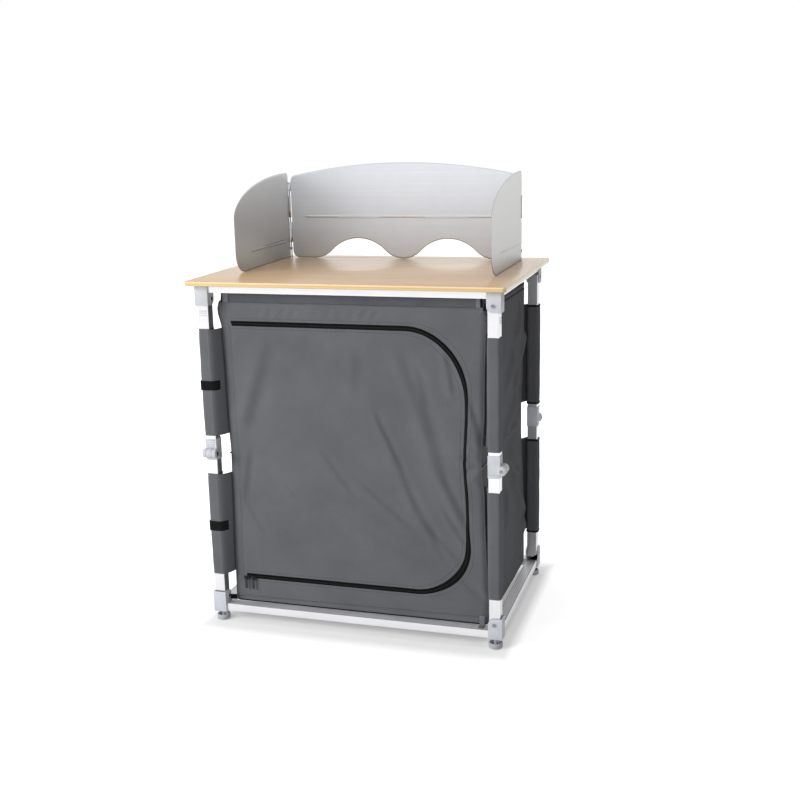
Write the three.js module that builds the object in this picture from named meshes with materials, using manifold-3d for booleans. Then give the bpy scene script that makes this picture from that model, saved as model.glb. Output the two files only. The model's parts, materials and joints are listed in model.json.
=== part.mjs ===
// A folding camping kitchen unit: a worktop with a lift-off windscreen, on a four-legged frame with
// knee joints, over a zipped fabric cabinet. Millimetres, +Z up, +X to the right seen from the front.
// The origin is on the floor, under the middle of the frame.

import * as THREE from 'three'
import { mergeVertices } from 'three/addons/utils/BufferGeometryUtils.js'
import Module from 'manifold-3d'

const wasm = await Module()
wasm.setup()

// Clearances and shared details
const gap = 0.3
const overrun = 1
const weldDistance = 0.001
const roundSides = 20
const smallRoundSides = 12
const cornerSteps = 3
const doorSteps = 6
const screenSteps = 5

// Frame: leg centres, square tube, and the rails under and over the cabinet
const legSpacingX = 653
const legSpacingY = 440.6
const tubeWidth = 25
const tubeWall = 1.5
const tubeCornerRadius = 2
const floorToRail = 25
const bottomRailHeight = 18
const topRailHeight = 17
const railWidth = 25
const railWall = 1.5
const railCornerRadius = 1.2
const railGrooves = 4
const grooveWidth = 2.4
const grooveDepth = 0.7

// Fold: each leg turns on a pin in the connectors at its ends, and on a knee pin outside its middle
const pivotAboveRail = 15
const legLength = 350
const kneeOffset = 17
const pivotPinRadius = 3
const pinClearance = 0.4
const tubeEndPastPivot = 7.5

// Corner connectors: a block with spigots for two rails, an outer wall and two cheeks round the leg
const cheekThickness = 2.6
const cheekClearance = 0.4
const cheekRadius = 14
const outerWallClearance = 2.4
const outerWallThickness = 2.6
const blockInward = 14
const blockSetBack = 0.4
const blockLip = 1.5
const spigotLength = 22
const rivetRadius = 4.5
const rivetHeight = 1.6

// Knee knuckles: the lower one ends in a tongue, the upper one in two cheeks and their pin
const knuckleWidth = 26.5
const knuckleRadius = 10.5
const tongueThickness = 13.5
const tongueClearance = 0.35
const slotClearance = 0.4
const kneeCheekReach = 15.5
const lowerCollarHeight = 6.2
const upperBodyHeight = 42.5
const plugLength = 21
const kneePinRadius = 3
const kneePinClearance = 0.3
const kneeScrewRadius = 5.5
const kneeScrewHeight = 1.2
const kneeCapRadius = 7
const kneeCapHeight = 2

// Fabric sleeves round the legs
const sleeveWall = 1.2
const sleeveClearance = 0.4
const sleeveCornerRadius = 3
const lowerSleeveFromPivot = 58
const lowerSleeveFromKnee = 50
const upperSleeveFromPivot = 66
const upperSleeveFromKnee = 40

// Levelling feet
const footRadius = 15.5
const footHeight = 12.5
const footEdge = 2
const footWall = 3
const footDishDepth = 7
const stemRadius = 4
const stemClearance = 0.35
const stemReach = 13
const stemBoreDepth = 16

// Worktop
const worktopOverhangX = 31.5
const worktopOverhangY = 37.7
const worktopThickness = 9.7
const worktopCornerRadius = 10

// Fabric cabinet with its two boards
const fabric = 1.5
const bagSideClearance = 14.5
const bagDepthClearance = 1.3
const bagAboveRail = 1
const bagBelowWorktop = 5.3
const panelBelowPivot = 10
const panelCornerRadius = 22
const hemHeight = 9
const boardThickness = 3
const boardEdgeClearance = 2.4
const shelfAboveRail = 355
const tabHeight = 13

// Cabinet door: the part of the front inside the zip, sewn on at its left edge
const doorLeftMargin = 24.5
const doorRightMargin = 37.5
const doorBottomMargin = 63
const doorTopMargin = 46
const doorUpperCorner = { across: 135, up: 155 }
const doorLowerCorner = { across: 120, up: 118 }
const doorSewnCornerRadius = 6

// Zip sliders with their pulls
const sliderLength = 14
const sliderHeight = 8
const sliderThickness = 3.5
const sliderPitch = 18
const sliderFromHinge = 7
const sliderBelowZip = 5
const sliderCornerRadius = 2
const bailSpan = 9
const bailStandOff = 3
const bailRadius = 0.9
const pullEyeRadius = 2.6
const pullEyeClearance = 0.4
const pullWidth = 5
const pullThickness = 1.6
const pullLength = 25
const pullCornerRadius = 1.5

// Windscreen: a back panel and two wings on hinge rods that stand in holes in the worktop
const screenFromLeftEdge = 70.5
const screenFromRightEdge = 60.5
const screenFromBackEdge = 53
const sheet = 1.2
const screenEndHeight = 204.5
const screenMiddleRise = 27.5
const screenCornerRadius = 17
const screenRodRadius = 1.6
const rodClearance = 0.3
const hingeKnuckleRadius = 2.8
const hingeEdgeClearance = 0.6
const hingeEdgesFromFoot = [14, 32, 94]
const hingeEdgesFromEndTop = [46.5, 14.5]
const hingeSlot = 12
const rodDepth = 8.5
const rodAboveKnuckle = 2
const rodHeadRadius = 2.6
const archWidth = 228.2
const archHeight = 48.5
const archFootRadius = 62
const middleFoot = 1
const wingLength = 330
const wingAboveScreenEnd = 5.5
const wingFrontHeight = 122
const wingRearFlat = 22
const wingFrontRadius = 46
const wingRearRadius = 12

// Heights worked out from the sizes above
const bottomRailTop = floorToRail + bottomRailHeight
const lowerPivot = bottomRailTop + pivotAboveRail
const knee = lowerPivot + legLength
const upperPivot = knee + legLength
const topRailUnderside = upperPivot + pivotAboveRail
const topRailTop = topRailUnderside + topRailHeight
const worktopUnderside = topRailTop + gap
const worktopTop = worktopUnderside + worktopThickness

// The worktop's size, and the places of the windscreen's hinge lines on it
const worktopWidth = legSpacingX + worktopOverhangX * 2
const worktopDepth = legSpacingY + worktopOverhangY * 2
const screenWidth = worktopWidth - screenFromLeftEdge - screenFromRightEdge
const screenShift = (screenFromLeftEdge - screenFromRightEdge) / 2
const screenHingeY = worktopDepth / 2 - screenFromBackEdge
const screenHingeX = (side) => screenShift + side * screenWidth / 2
const wingHeight = screenEndHeight + wingAboveScreenEnd
const upperHingeEdges = hingeEdgesFromEndTop.map((down) => screenEndHeight - down)
const hingeKnuckleEdges = [...hingeEdgesFromFoot, ...upperHingeEdges]

// Cabinet planes worked out from the frame
const bagHalfWidth = (legSpacingX - tubeWidth) / 2 - bagSideClearance
const bagHalfDepth = (legSpacingY - tubeWidth) / 2 - bagDepthClearance
const bagBottom = bottomRailTop + bagAboveRail
const bagTop = worktopUnderside - bagBelowWorktop
const panelTop = upperPivot - panelBelowPivot
const bagFrontEdge = -bagHalfDepth + fabric + gap
const shelfUnderside = bottomRailTop + shelfAboveRail
const doorLeft = -bagHalfWidth + doorLeftMargin
const doorRight = bagHalfWidth - doorRightMargin
const doorBottom = bagBottom + doorBottomMargin
const doorTop = panelTop - doorTopMargin

const paint = (color, roughness, metalness) => new THREE.MeshStandardMaterial({ color, roughness, metalness })

const materials = {
  worktop: paint(0xcdb28a, 0.3, 0),
  frame: paint(0xdedee2, 0.4, 0.1),
  fitting: paint(0xc4c3cc, 0.5, 0),
  foot: paint(0xb9b8bf, 0.5, 0),
  cabinet: paint(0x5f5e62, 0.95, 0),
  sleeve: paint(0x5a595d, 0.95, 0),
  board: paint(0x6b6a6c, 0.8, 0),
  zip: paint(0x2c2c2e, 0.5, 0.2),
  screen: paint(0xb8bcc2, 0.35, 0.9),
  rod: paint(0xb0b0b4, 0.3, 1),
}

// Shapes

// The solid of a closed mesh, for cutting and joining
function solid(geometry) {
  const bare = geometry.clone()
  bare.deleteAttribute('normal')
  bare.deleteAttribute('uv')
  const merged = mergeVertices(bare, weldDistance)
  const mesh = { numProp: 3, vertProperties: merged.attributes.position.array, triVerts: merged.index.array }
  return new wasm.Manifold(new wasm.Mesh(mesh))
}

// The mesh of a solid
function geometryOf(body) {
  const mesh = body.getMesh()
  const geometry = new THREE.BufferGeometry()
  geometry.setAttribute('position', new THREE.BufferAttribute(mesh.vertProperties, mesh.numProp))
  geometry.setIndex(new THREE.BufferAttribute(mesh.triVerts, 1))
  geometry.computeVertexNormals()
  return geometry
}

const joined = (bodies) => bodies.reduce((whole, body) => whole.add(body))

// A box between two values on each axis, given in either order
function block(acrossX, acrossY, acrossZ) {
  const spans = [acrossX, acrossY, acrossZ]
  const sizes = spans.map(([a, b]) => Math.abs(b - a))
  const middles = spans.map(([a, b]) => (a + b) / 2)
  return solid(new THREE.BoxGeometry(...sizes).translate(...middles))
}

// A cylinder along Y, between two values of Y, about the line at x and z
function barAlongY(radius, fromY, toY, x, z, sides = roundSides) {
  const bar = new THREE.CylinderGeometry(radius, radius, Math.abs(toY - fromY), sides)
  return solid(bar.translate(x, (fromY + toY) / 2, z))
}

// A cylinder along X, between two values of X, about the line at y and z
function barAlongX(radius, fromX, toX, y, z, sides = smallRoundSides) {
  const bar = new THREE.CylinderGeometry(radius, radius, Math.abs(toX - fromX), sides)
  return solid(bar.rotateZ(Math.PI / 2).translate((fromX + toX) / 2, y, z))
}

// A cylinder along Z, between two heights, about the line at x and y
function barAlongZ(radius, fromZ, toZ, x, y, sides = smallRoundSides) {
  const bar = new THREE.CylinderGeometry(radius, radius, Math.abs(toZ - fromZ), sides)
  return solid(bar.rotateX(Math.PI / 2).translate(x, y, (fromZ + toZ) / 2))
}

// A rectangle with round corners, as a shape or as a hole in one
function roundedRectangle(outline, left, right, bottom, top, radius) {
  outline.moveTo(left + radius, bottom)
  outline.lineTo(right - radius, bottom)
  outline.absarc(right - radius, bottom + radius, radius, -Math.PI / 2, 0, false)
  outline.lineTo(right, top - radius)
  outline.absarc(right - radius, top - radius, radius, 0, Math.PI / 2, false)
  outline.lineTo(left + radius, top)
  outline.absarc(left + radius, top - radius, radius, Math.PI / 2, Math.PI, false)
  outline.lineTo(left, bottom + radius)
  outline.absarc(left + radius, bottom + radius, radius, Math.PI, Math.PI * 1.5, false)
  outline.closePath()
  return outline
}

function rectangle(outline, left, right, bottom, top) {
  outline.moveTo(left, bottom)
  outline.lineTo(right, bottom)
  outline.lineTo(right, top)
  outline.lineTo(left, top)
  outline.closePath()
  return outline
}

const halves = (width) => [-width / 2, width / 2]

function extruded(outline, depth, steps = cornerSteps) {
  return new THREE.ExtrudeGeometry(outline, { depth, bevelEnabled: false, curveSegments: steps })
}

// Turns a shape drawn across and up, and extruded, so that it runs along X
const alongX = new THREE.Matrix4().makeBasis(
  new THREE.Vector3(0, 1, 0), new THREE.Vector3(0, 0, 1), new THREE.Vector3(1, 0, 0))

// A plate drawn in X and Z, with its front face at one Y and its thickness behind it
function plateXZ(outline, frontY, thickness, steps) {
  return extruded(outline, thickness, steps).rotateX(Math.PI / 2).translate(0, frontY + thickness, 0)
}

// Frame

// One rail, drawn along -X from its corner, with grooves along its top where it is asked for
function rail(length, height, underside, grooved) {
  const half = railWidth / 2
  const rounding = height - railCornerRadius
  const outline = new THREE.Shape()
  outline.moveTo(-half, railCornerRadius)
  outline.absarc(-half + railCornerRadius, railCornerRadius, railCornerRadius, Math.PI, Math.PI * 1.5, false)
  outline.absarc(half - railCornerRadius, railCornerRadius, railCornerRadius, -Math.PI / 2, 0, false)
  outline.absarc(half - railCornerRadius, rounding, railCornerRadius, 0, Math.PI / 2, false)
  const pitch = railWidth / (railGrooves + 1)
  for (let k = railGrooves; grooved && k > 0; k -= 1) {
    const middle = -half + k * pitch
    outline.lineTo(middle + grooveWidth / 2, height)
    outline.lineTo(middle, height - grooveDepth)
    outline.lineTo(middle - grooveWidth / 2, height)
  }
  outline.absarc(-half + railCornerRadius, rounding, railCornerRadius, Math.PI / 2, Math.PI, false)
  outline.closePath()
  const bore = halves(railWidth - 2 * railWall)
  outline.holes.push(rectangle(new THREE.Path(), ...bore, railWall, height - railWall))
  return extruded(outline, length, 1).applyMatrix4(alongX).translate(-railStart - length, 0, underside)
}

const cheekReach = tubeWidth / 2 + cheekClearance + cheekThickness
const outerWallInside = tubeWidth / 2 + outerWallClearance
const outerWallOutside = outerWallInside + outerWallThickness
const railStart = blockInward + gap
const railLength = (span) => span - railStart - cheekReach - gap

// A spigot's section, loose in the bore of a rail
function spigotSpans(railHeight, underside) {
  const inset = railWall + gap
  return { across: halves(railWidth - 2 * inset), up: [underside + inset, underside + railHeight - inset] }
}

// One corner connector about its leg's centre. up is 1 where the leg rises from it, -1 where it hangs
// over the leg. The leg turns about the connector's pin, towards -X.
function connector(pivot, up, railHeight, lip) {
  const blockNear = pivot - up * (pivotAboveRail + blockSetBack)
  const blockFar = pivot - up * (pivotAboveRail + railHeight + lip)
  const cheekEnd = pivot + up * cheekRadius
  const cheekInside = cheekReach - cheekThickness
  const railEdge = Math.min(pivot - up * pivotAboveRail, pivot - up * (pivotAboveRail + railHeight))
  const spigot = spigotSpans(railHeight, railEdge)
  const parts = [
    block([-blockInward, outerWallOutside], [-cheekReach, cheekReach], [blockNear, blockFar]),
    block([outerWallInside, outerWallOutside], [-cheekReach, cheekReach], [blockFar, cheekEnd]),
    barAlongY(pivotPinRadius, -cheekReach, cheekReach, 0, pivot, smallRoundSides),
    block([-blockInward, -blockInward - spigotLength], spigot.across, spigot.up),
    block(spigot.across, [cheekReach, cheekReach + spigotLength], spigot.up),
  ]
  for (const side of [-1, 1]) {
    const cheekSpan = [side * cheekInside, side * cheekReach]
    parts.push(block([-blockInward, cheekRadius], cheekSpan, [blockFar, pivot]))
    parts.push(block([0, outerWallOutside], cheekSpan, [blockFar, cheekEnd]))
    parts.push(barAlongY(cheekRadius, ...cheekSpan, 0, pivot))
    const rivetSpan = [side * cheekInside, side * (cheekReach + rivetHeight)]
    parts.push(barAlongY(rivetRadius, ...rivetSpan, 0, pivot, smallRoundSides))
  }
  return joined(parts)
}

function bottomConnector() {
  const underside = lowerPivot - pivotAboveRail - bottomRailHeight - blockLip
  const bore = barAlongZ(stemRadius + stemClearance, underside - overrun, underside + stemBoreDepth, 0, 0)
  return geometryOf(connector(lowerPivot, 1, bottomRailHeight, blockLip).subtract(bore))
}

function topConnector() {
  return geometryOf(connector(upperPivot, -1, topRailHeight, 0))
}

// A levelling foot: a dished cup on a stem
function foot() {
  const dishFloor = footHeight - footDishDepth
  const stemTop = floorToRail - blockLip + stemReach
  const profile = [
    [0, 0],
    [footRadius - footEdge, 0],
    [footRadius, footEdge],
    [footRadius, footHeight - footEdge],
    [footRadius - footEdge / 2, footHeight],
    [footRadius - footWall, footHeight],
    [footRadius - footWall, dishFloor],
    [stemRadius, dishFloor],
    [stemRadius, stemTop],
    [0, stemTop],
  ]
  const points = profile.map(([r, z]) => new THREE.Vector2(r, z))
  return new THREE.LatheGeometry(points, roundSides).rotateX(Math.PI / 2)
}

// Legs

// A square tube between two heights, with a hole across it for the pin at its pivot
function legTube(from, to, pivot) {
  const outside = halves(tubeWidth)
  const outline = roundedRectangle(new THREE.Shape(), ...outside, ...outside, tubeCornerRadius)
  const bore = halves(tubeWidth - 2 * tubeWall)
  outline.holes.push(rectangle(new THREE.Path(), ...bore, ...bore))
  const tube = solid(extruded(outline, to - from).translate(0, 0, from))
  const reach = tubeWidth / 2 + overrun
  const hole = barAlongY(pivotPinRadius + pinClearance, -reach, reach, 0, pivot, smallRoundSides)
  return geometryOf(tube.subtract(hole))
}

const kneeSeat = knee - knuckleRadius - gap
const collarBottom = kneeSeat - lowerCollarHeight
const upperBodyBottom = knee - knuckleRadius
const upperBodyTop = upperBodyBottom + upperBodyHeight
const plugHalf = tubeWidth / 2 - tubeWall - gap

function lowerLeg() {
  return legTube(lowerPivot - tubeEndPastPivot, collarBottom - gap, lowerPivot)
}

function upperLeg() {
  return legTube(upperBodyTop + gap, upperPivot + tubeEndPastPivot, upperPivot)
}

// The plug, collar and tongue at the top of a lower leg
function lowerKnuckle() {
  const tongue = tongueThickness / 2
  const neck = [kneeOffset - knuckleRadius, knuckleWidth / 2]
  const parts = [
    block([-plugHalf, plugHalf], [-plugHalf, plugHalf], [collarBottom - plugLength, collarBottom]),
    block(halves(knuckleWidth), halves(knuckleWidth), [collarBottom, kneeSeat]),
    block(neck, [-tongue, tongue], [kneeSeat, knee]),
    barAlongY(knuckleRadius, -tongue, tongue, kneeOffset, knee),
  ]
  const reach = tongue + overrun
  const bore = barAlongY(kneePinRadius + kneePinClearance, -reach, reach, kneeOffset, knee, smallRoundSides)
  return geometryOf(joined(parts).subtract(bore))
}

// The body, plug, cheeks and pin at the foot of an upper leg, with a slot for the tongue
function upperKnuckle() {
  const slot = tongueThickness / 2 + tongueClearance
  const sweep = knuckleRadius + slotClearance
  const body = joined([
    block([-plugHalf, plugHalf], [-plugHalf, plugHalf], [upperBodyTop, upperBodyTop + plugLength]),
    block(halves(knuckleWidth), halves(knuckleWidth), [upperBodyBottom, upperBodyTop]),
    barAlongY(knuckleRadius, -kneeCheekReach, kneeCheekReach, kneeOffset, knee),
  ])
  const room = joined([
    barAlongY(sweep, -slot, slot, kneeOffset, knee),
    block([kneeOffset - sweep, knuckleWidth], [-slot, slot], [kneeSeat, knee]),
  ])
  const cap = [-kneeCheekReach - kneeCapHeight, -slot]
  const screw = [slot, kneeCheekReach + kneeScrewHeight]
  return geometryOf(joined([
    body.subtract(room),
    barAlongY(kneePinRadius, -slot, slot, kneeOffset, knee, smallRoundSides),
    barAlongY(kneeCapRadius, ...cap, kneeOffset, knee),
    barAlongY(kneeScrewRadius, ...screw, kneeOffset, knee, smallRoundSides),
  ]))
}

// A fabric sleeve round a leg, between two heights
function sleeve(from, to) {
  const inner = tubeWidth / 2 + sleeveClearance
  const outer = inner + sleeveWall
  const outline = roundedRectangle(new THREE.Shape(), -outer, outer, -outer, outer, sleeveCornerRadius)
  outline.holes.push(roundedRectangle(new THREE.Path(), -inner, inner, -inner, inner, tubeCornerRadius))
  return extruded(outline, to - from).translate(0, 0, from)
}

// Worktop

// The worktop, with the two holes that the windscreen's rods stand in
function worktop() {
  const outline = roundedRectangle(
    new THREE.Shape(), ...halves(worktopWidth), ...halves(worktopDepth), worktopCornerRadius)
  for (const side of [-1, 1]) {
    const hole = new THREE.Path()
    hole.absarc(screenHingeX(side), screenHingeY, screenRodRadius + rodClearance, 0, Math.PI * 2, true)
    outline.holes.push(hole)
  }
  return extruded(outline, worktopThickness, cornerSteps * 2).translate(0, 0, worktopUnderside)
}

// Cabinet

// The fabric shell: floor, middle shelf, sides, back and the band under the worktop, open at the front
function cabinetBag() {
  const across = [-bagHalfWidth + fabric, bagHalfWidth - fabric]
  const backInside = bagHalfDepth - fabric
  const shell = block([-bagHalfWidth, bagHalfWidth], [bagFrontEdge, bagHalfDepth], [bagBottom, bagTop])
  const openFront = [bagFrontEdge - overrun, backInside]
  const lowerRoom = block(across, openFront, [bagBottom + fabric, shelfUnderside])
  const upperRoom = block(across, openFront, [shelfUnderside + fabric, panelTop])
  const openTop = block(across, [bagFrontEdge + fabric, backInside], [panelTop - overrun, bagTop + overrun])
  const railInside = (legSpacingY - railWidth) / 2 - gap
  const hems = [
    block([-bagHalfWidth, bagHalfWidth], [-railInside, bagFrontEdge + fabric], [bagTop - hemHeight, bagTop]),
    block([-bagHalfWidth, bagHalfWidth], [backInside, railInside], [bagTop - hemHeight, bagTop]),
  ]
  const body = shell.subtract(lowerRoom).subtract(upperRoom).subtract(openTop)
  return geometryOf(joined([body, ...hems, ...cornerTabs()]))
}

// Webbing tabs from the shell's lower corners to the corner connectors
function cornerTabs() {
  return corners.map((corner) => {
    const connectorReach = corner.quarter % 2 === 0 ? blockInward : cheekReach
    const outerEnd = legSpacingX / 2 - connectorReach - gap
    const face = corner.y < 0 ? bagFrontEdge : bagHalfDepth
    const acrossX = [corner.x * (bagHalfWidth - fabric), corner.x * outerEnd]
    return block(acrossX, [face, face - corner.y * fabric], [bagBottom, bagBottom + tabHeight])
  })
}

// The zip's line round the door, moved outwards by some distance
function doorOutline(outline, outwards) {
  const left = doorLeft - outwards
  const right = doorRight + outwards
  const bottom = doorBottom - outwards
  const top = doorTop + outwards
  const upper = { across: doorUpperCorner.across + outwards, up: doorUpperCorner.up + outwards }
  const lower = { across: doorLowerCorner.across + outwards, up: doorLowerCorner.up + outwards }
  const sewn = doorSewnCornerRadius + outwards
  outline.moveTo(left + sewn, bottom)
  outline.lineTo(right - lower.across, bottom)
  outline.absellipse(right - lower.across, bottom + lower.up, lower.across, lower.up, -Math.PI / 2, 0, false)
  outline.lineTo(right, top - upper.up)
  outline.absellipse(right - upper.across, top - upper.up, upper.across, upper.up, 0, Math.PI / 2, false)
  outline.lineTo(left + sewn, top)
  outline.absarc(left + sewn, top - sewn, sewn, Math.PI / 2, Math.PI, false)
  outline.lineTo(left, bottom + sewn)
  outline.absarc(left + sewn, bottom + sewn, sewn, Math.PI, Math.PI * 1.5, false)
  outline.closePath()
  return outline
}

function frontPanel() {
  const outline = roundedRectangle(
    new THREE.Shape(), -bagHalfWidth, bagHalfWidth, bagBottom, panelTop, panelCornerRadius)
  outline.holes.push(doorOutline(new THREE.Path(), gap))
  return plateXZ(outline, -bagHalfDepth, fabric, doorSteps)
}

function doorFlap() {
  return plateXZ(doorOutline(new THREE.Shape(), 0), -bagHalfDepth, fabric, doorSteps)
}

// A stiff board that lies on one of the shell's fabric floors
function board(fabricTop) {
  const halfWidth = bagHalfWidth - fabric - boardEdgeClearance
  const front = bagFrontEdge + boardEdgeClearance
  const back = bagHalfDepth - fabric - boardEdgeClearance
  const size = [halfWidth * 2, back - front, boardThickness]
  return new THREE.BoxGeometry(...size).translate(0, (front + back) / 2, fabricTop + gap + boardThickness / 2)
}

// Zip slider: a plate on the zip, with a bail along it for the pull. Its origin is on the panel's face.
const bailY = -gap - sliderThickness - bailStandOff

function zipSlider() {
  const plateFront = -gap - sliderThickness
  const outline = roundedRectangle(
    new THREE.Shape(), ...halves(sliderLength), ...halves(sliderHeight), sliderCornerRadius)
  const parts = [
    solid(plateXZ(outline, plateFront, sliderThickness)),
    barAlongX(bailRadius, ...halves(bailSpan + bailRadius), bailY, 0),
  ]
  for (const side of [-1, 1]) {
    const post = [side * (bailSpan - bailRadius) / 2, side * (bailSpan + bailRadius) / 2]
    parts.push(block(post, [bailY - bailRadius, plateFront + overrun], halves(bailRadius * 2)))
  }
  return geometryOf(joined(parts))
}

// Zip pull: a tab that hangs from an eye round the slider's bail. Its origin is the eye's centre.
function zipPull() {
  const outline = roundedRectangle(new THREE.Shape(), ...halves(pullWidth), -pullLength, 0, pullCornerRadius)
  const bore = barAlongX(bailRadius + pullEyeClearance, -pullWidth, pullWidth, 0, 0)
  const tab = solid(plateXZ(outline, -pullThickness / 2, pullThickness))
  return geometryOf(tab.add(barAlongX(pullEyeRadius, ...halves(pullWidth), 0, 0)).subtract(bore))
}

// Windscreen

const screenFoot = worktopTop + gap
const sheetOffset = hingeKnuckleRadius - sheet / 2
const sheetEdge = hingeKnuckleRadius + hingeEdgeClearance
const knuckleSpan = (index) => [
  worktopTop + hingeKnuckleEdges[index] + hingeSlot / 2,
  worktopTop + hingeKnuckleEdges[index + 1] - hingeSlot / 2]

// The hinge barrels and tongues of one sheet's edge. The sheet lies towards +X of the hinge line at
// the origin, with its middle at sheetY, and holds every other barrel from the first given.
function hingeEdge(first, sheetY) {
  const parts = []
  for (let index = first; index < hingeKnuckleEdges.length - 1; index += 2) {
    const span = knuckleSpan(index)
    parts.push(barAlongZ(hingeKnuckleRadius, ...span, 0, 0))
    parts.push(block([0, sheetEdge + overrun], [sheetY - sheet / 2, sheetY + sheet / 2], span))
  }
  return joined(parts)
}

const hingeBore = () => barAlongZ(
  screenRodRadius + rodClearance, worktopTop, worktopTop + wingHeight, 0, 0)

// One wing, drawn from its hinge line along +X, with its sheet on one side of that line
function wing(sheetSide) {
  const low = screenFoot
  const top = worktopTop + wingHeight
  const frontTop = worktopTop + wingFrontHeight
  const outline = new THREE.Shape()
  outline.moveTo(sheetEdge, low)
  outline.lineTo(wingLength - wingFrontRadius, low)
  outline.absarc(wingLength - wingFrontRadius, low + wingFrontRadius, wingFrontRadius, -Math.PI / 2, 0, false)
  outline.lineTo(wingLength, frontTop)
  outline.absellipse(wingRearFlat, frontTop, wingLength - wingRearFlat, top - frontTop, 0, Math.PI / 2, false)
  const rear = sheetEdge + wingRearRadius
  outline.absarc(rear, top - wingRearRadius, wingRearRadius, Math.PI / 2, Math.PI, false)
  outline.closePath()
  const sheetY = sheetSide * sheetOffset
  const plate = solid(plateXZ(outline, sheetY - sheet / 2, sheet, screenSteps))
  return geometryOf(plate.add(hingeEdge(0, sheetY)).subtract(hingeBore()))
}

// One arch cut in the panel's foot, going left to right: a round foot, the arch and a round foot,
// each tangent to the next
function cutArch(outline, middle) {
  const half = archWidth / 2
  const bothRadii = (half ** 2 + archHeight ** 2) / (2 * archHeight)
  const archRadius = bothRadii - archFootRadius
  const archCentre = screenFoot + archHeight - archRadius
  const footCentre = screenFoot + archFootRadius
  const slope = Math.asin(half / bothRadii)
  const down = -Math.PI / 2
  const crown = Math.PI / 2
  outline.absarc(middle - half, footCentre, archFootRadius, down, down + slope, false)
  outline.absarc(middle, archCentre, archRadius, crown + slope, crown - slope, true)
  outline.absarc(middle + half, footCentre, archFootRadius, down - slope, down, false)
}

// The back panel: its upper edge is one low arc, and two arches are cut in its foot
function screenPanel() {
  const left = -screenWidth / 2 + sheetEdge
  const right = screenWidth / 2 - sheetEdge
  const endTop = worktopTop + screenEndHeight
  const halfArc = right - screenCornerRadius
  const arcRadius = (halfArc ** 2 + screenMiddleRise ** 2) / (2 * screenMiddleRise)
  const halfAngle = Math.asin(halfArc / arcRadius)
  const arcCentre = endTop + screenMiddleRise - arcRadius
  const r = screenCornerRadius
  const archMiddle = (middleFoot + archWidth) / 2
  const outline = new THREE.Shape()
  outline.moveTo(right, screenFoot + r)
  outline.lineTo(right, endTop - r)
  outline.absarc(right - r, endTop - r, r, 0, Math.PI / 2, false)
  outline.absarc(0, arcCentre, arcRadius, Math.PI / 2 - halfAngle, Math.PI / 2 + halfAngle, false)
  outline.absarc(left + r, endTop - r, r, Math.PI / 2, Math.PI, false)
  outline.lineTo(left, screenFoot + r)
  outline.absarc(left + r, screenFoot + r, r, Math.PI, Math.PI * 1.5, false)
  cutArch(outline, -archMiddle)
  cutArch(outline, archMiddle)
  outline.lineTo(right - r, screenFoot)
  outline.absarc(right - r, screenFoot + r, r, -Math.PI / 2, 0, false)
  outline.closePath()
  const plate = solid(plateXZ(outline, sheetOffset - sheet / 2, sheet, screenSteps))
  const leftEdge = hingeEdge(1, sheetOffset).subtract(hingeBore()).translate([-screenWidth / 2, 0, 0])
  const rightEdge = hingeEdge(1, -sheetOffset).subtract(hingeBore()).rotate([0, 0, 180])
    .translate([screenWidth / 2, 0, 0])
  return geometryOf(joined([plate, leftEdge, rightEdge]))
}

function hingeRod() {
  const top = worktopTop + hingeKnuckleEdges.at(-1) - hingeSlot / 2 + rodAboveKnuckle
  const shaft = barAlongZ(screenRodRadius, worktopTop - rodDepth, top, 0, 0)
  return geometryOf(shaft.add(barAlongZ(rodHeadRadius, top - rodAboveKnuckle + gap, top, 0, 0)))
}

// Assembly

// The corners, going round from the front right. Each owns the rail that starts there towards -X of
// its own turned axes, over the span to the next corner.
const corners = [
  { name: 'front_right', rail: 'front', x: 1, y: -1, quarter: 0, span: legSpacingX },
  { name: 'back_right', rail: 'right', x: 1, y: 1, quarter: 1, span: legSpacingY },
  { name: 'back_left', rail: 'back', x: -1, y: 1, quarter: 2, span: legSpacingX },
  { name: 'front_left', rail: 'left', x: -1, y: -1, quarter: 3, span: legSpacingY },
]

function add(parent, name, geometry, material) {
  const mesh = new THREE.Mesh(geometry, material)
  mesh.name = name
  parent.add(mesh)
  return mesh
}

const unit = new THREE.Group()

for (const corner of corners) {
  const place = new THREE.Group()
  place.position.set(corner.x * legSpacingX / 2, corner.y * legSpacingY / 2, 0)
  place.rotation.z = corner.quarter * Math.PI / 2
  const { frame, fitting, sleeve: cloth } = materials
  const length = railLength(corner.span)
  add(place, `bottom_rail_${corner.rail}`, rail(length, bottomRailHeight, floorToRail, true), frame)
  add(place, `top_rail_${corner.rail}`, rail(length, topRailHeight, topRailUnderside, false), frame)
  add(place, `bottom_connector_${corner.name}`, bottomConnector(), fitting)
  add(place, `top_connector_${corner.name}`, topConnector(), fitting)
  add(place, `foot_${corner.name}`, foot(), materials.foot)
  add(place, `lower_leg_${corner.name}`, lowerLeg(), frame)
  add(place, `upper_leg_${corner.name}`, upperLeg(), frame)
  add(place, `lower_knuckle_${corner.name}`, lowerKnuckle(), fitting)
  add(place, `upper_knuckle_${corner.name}`, upperKnuckle(), fitting)
  const lowerSleeve = sleeve(lowerPivot + lowerSleeveFromPivot, knee - lowerSleeveFromKnee)
  const upperSleeve = sleeve(knee + upperSleeveFromKnee, upperPivot - upperSleeveFromPivot)
  add(place, `lower_sleeve_${corner.name}`, lowerSleeve, cloth)
  add(place, `upper_sleeve_${corner.name}`, upperSleeve, cloth)
  unit.add(place)
}

add(unit, 'table_top', worktop(), materials.worktop)
add(unit, 'cabinet_bag', cabinetBag(), materials.cabinet)
add(unit, 'front_panel', frontPanel(), materials.cabinet)
add(unit, 'door_flap', doorFlap(), materials.cabinet)
add(unit, 'floor_board', board(bagBottom + fabric), materials.board)
add(unit, 'shelf_board', board(shelfUnderside + fabric), materials.board)

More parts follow.
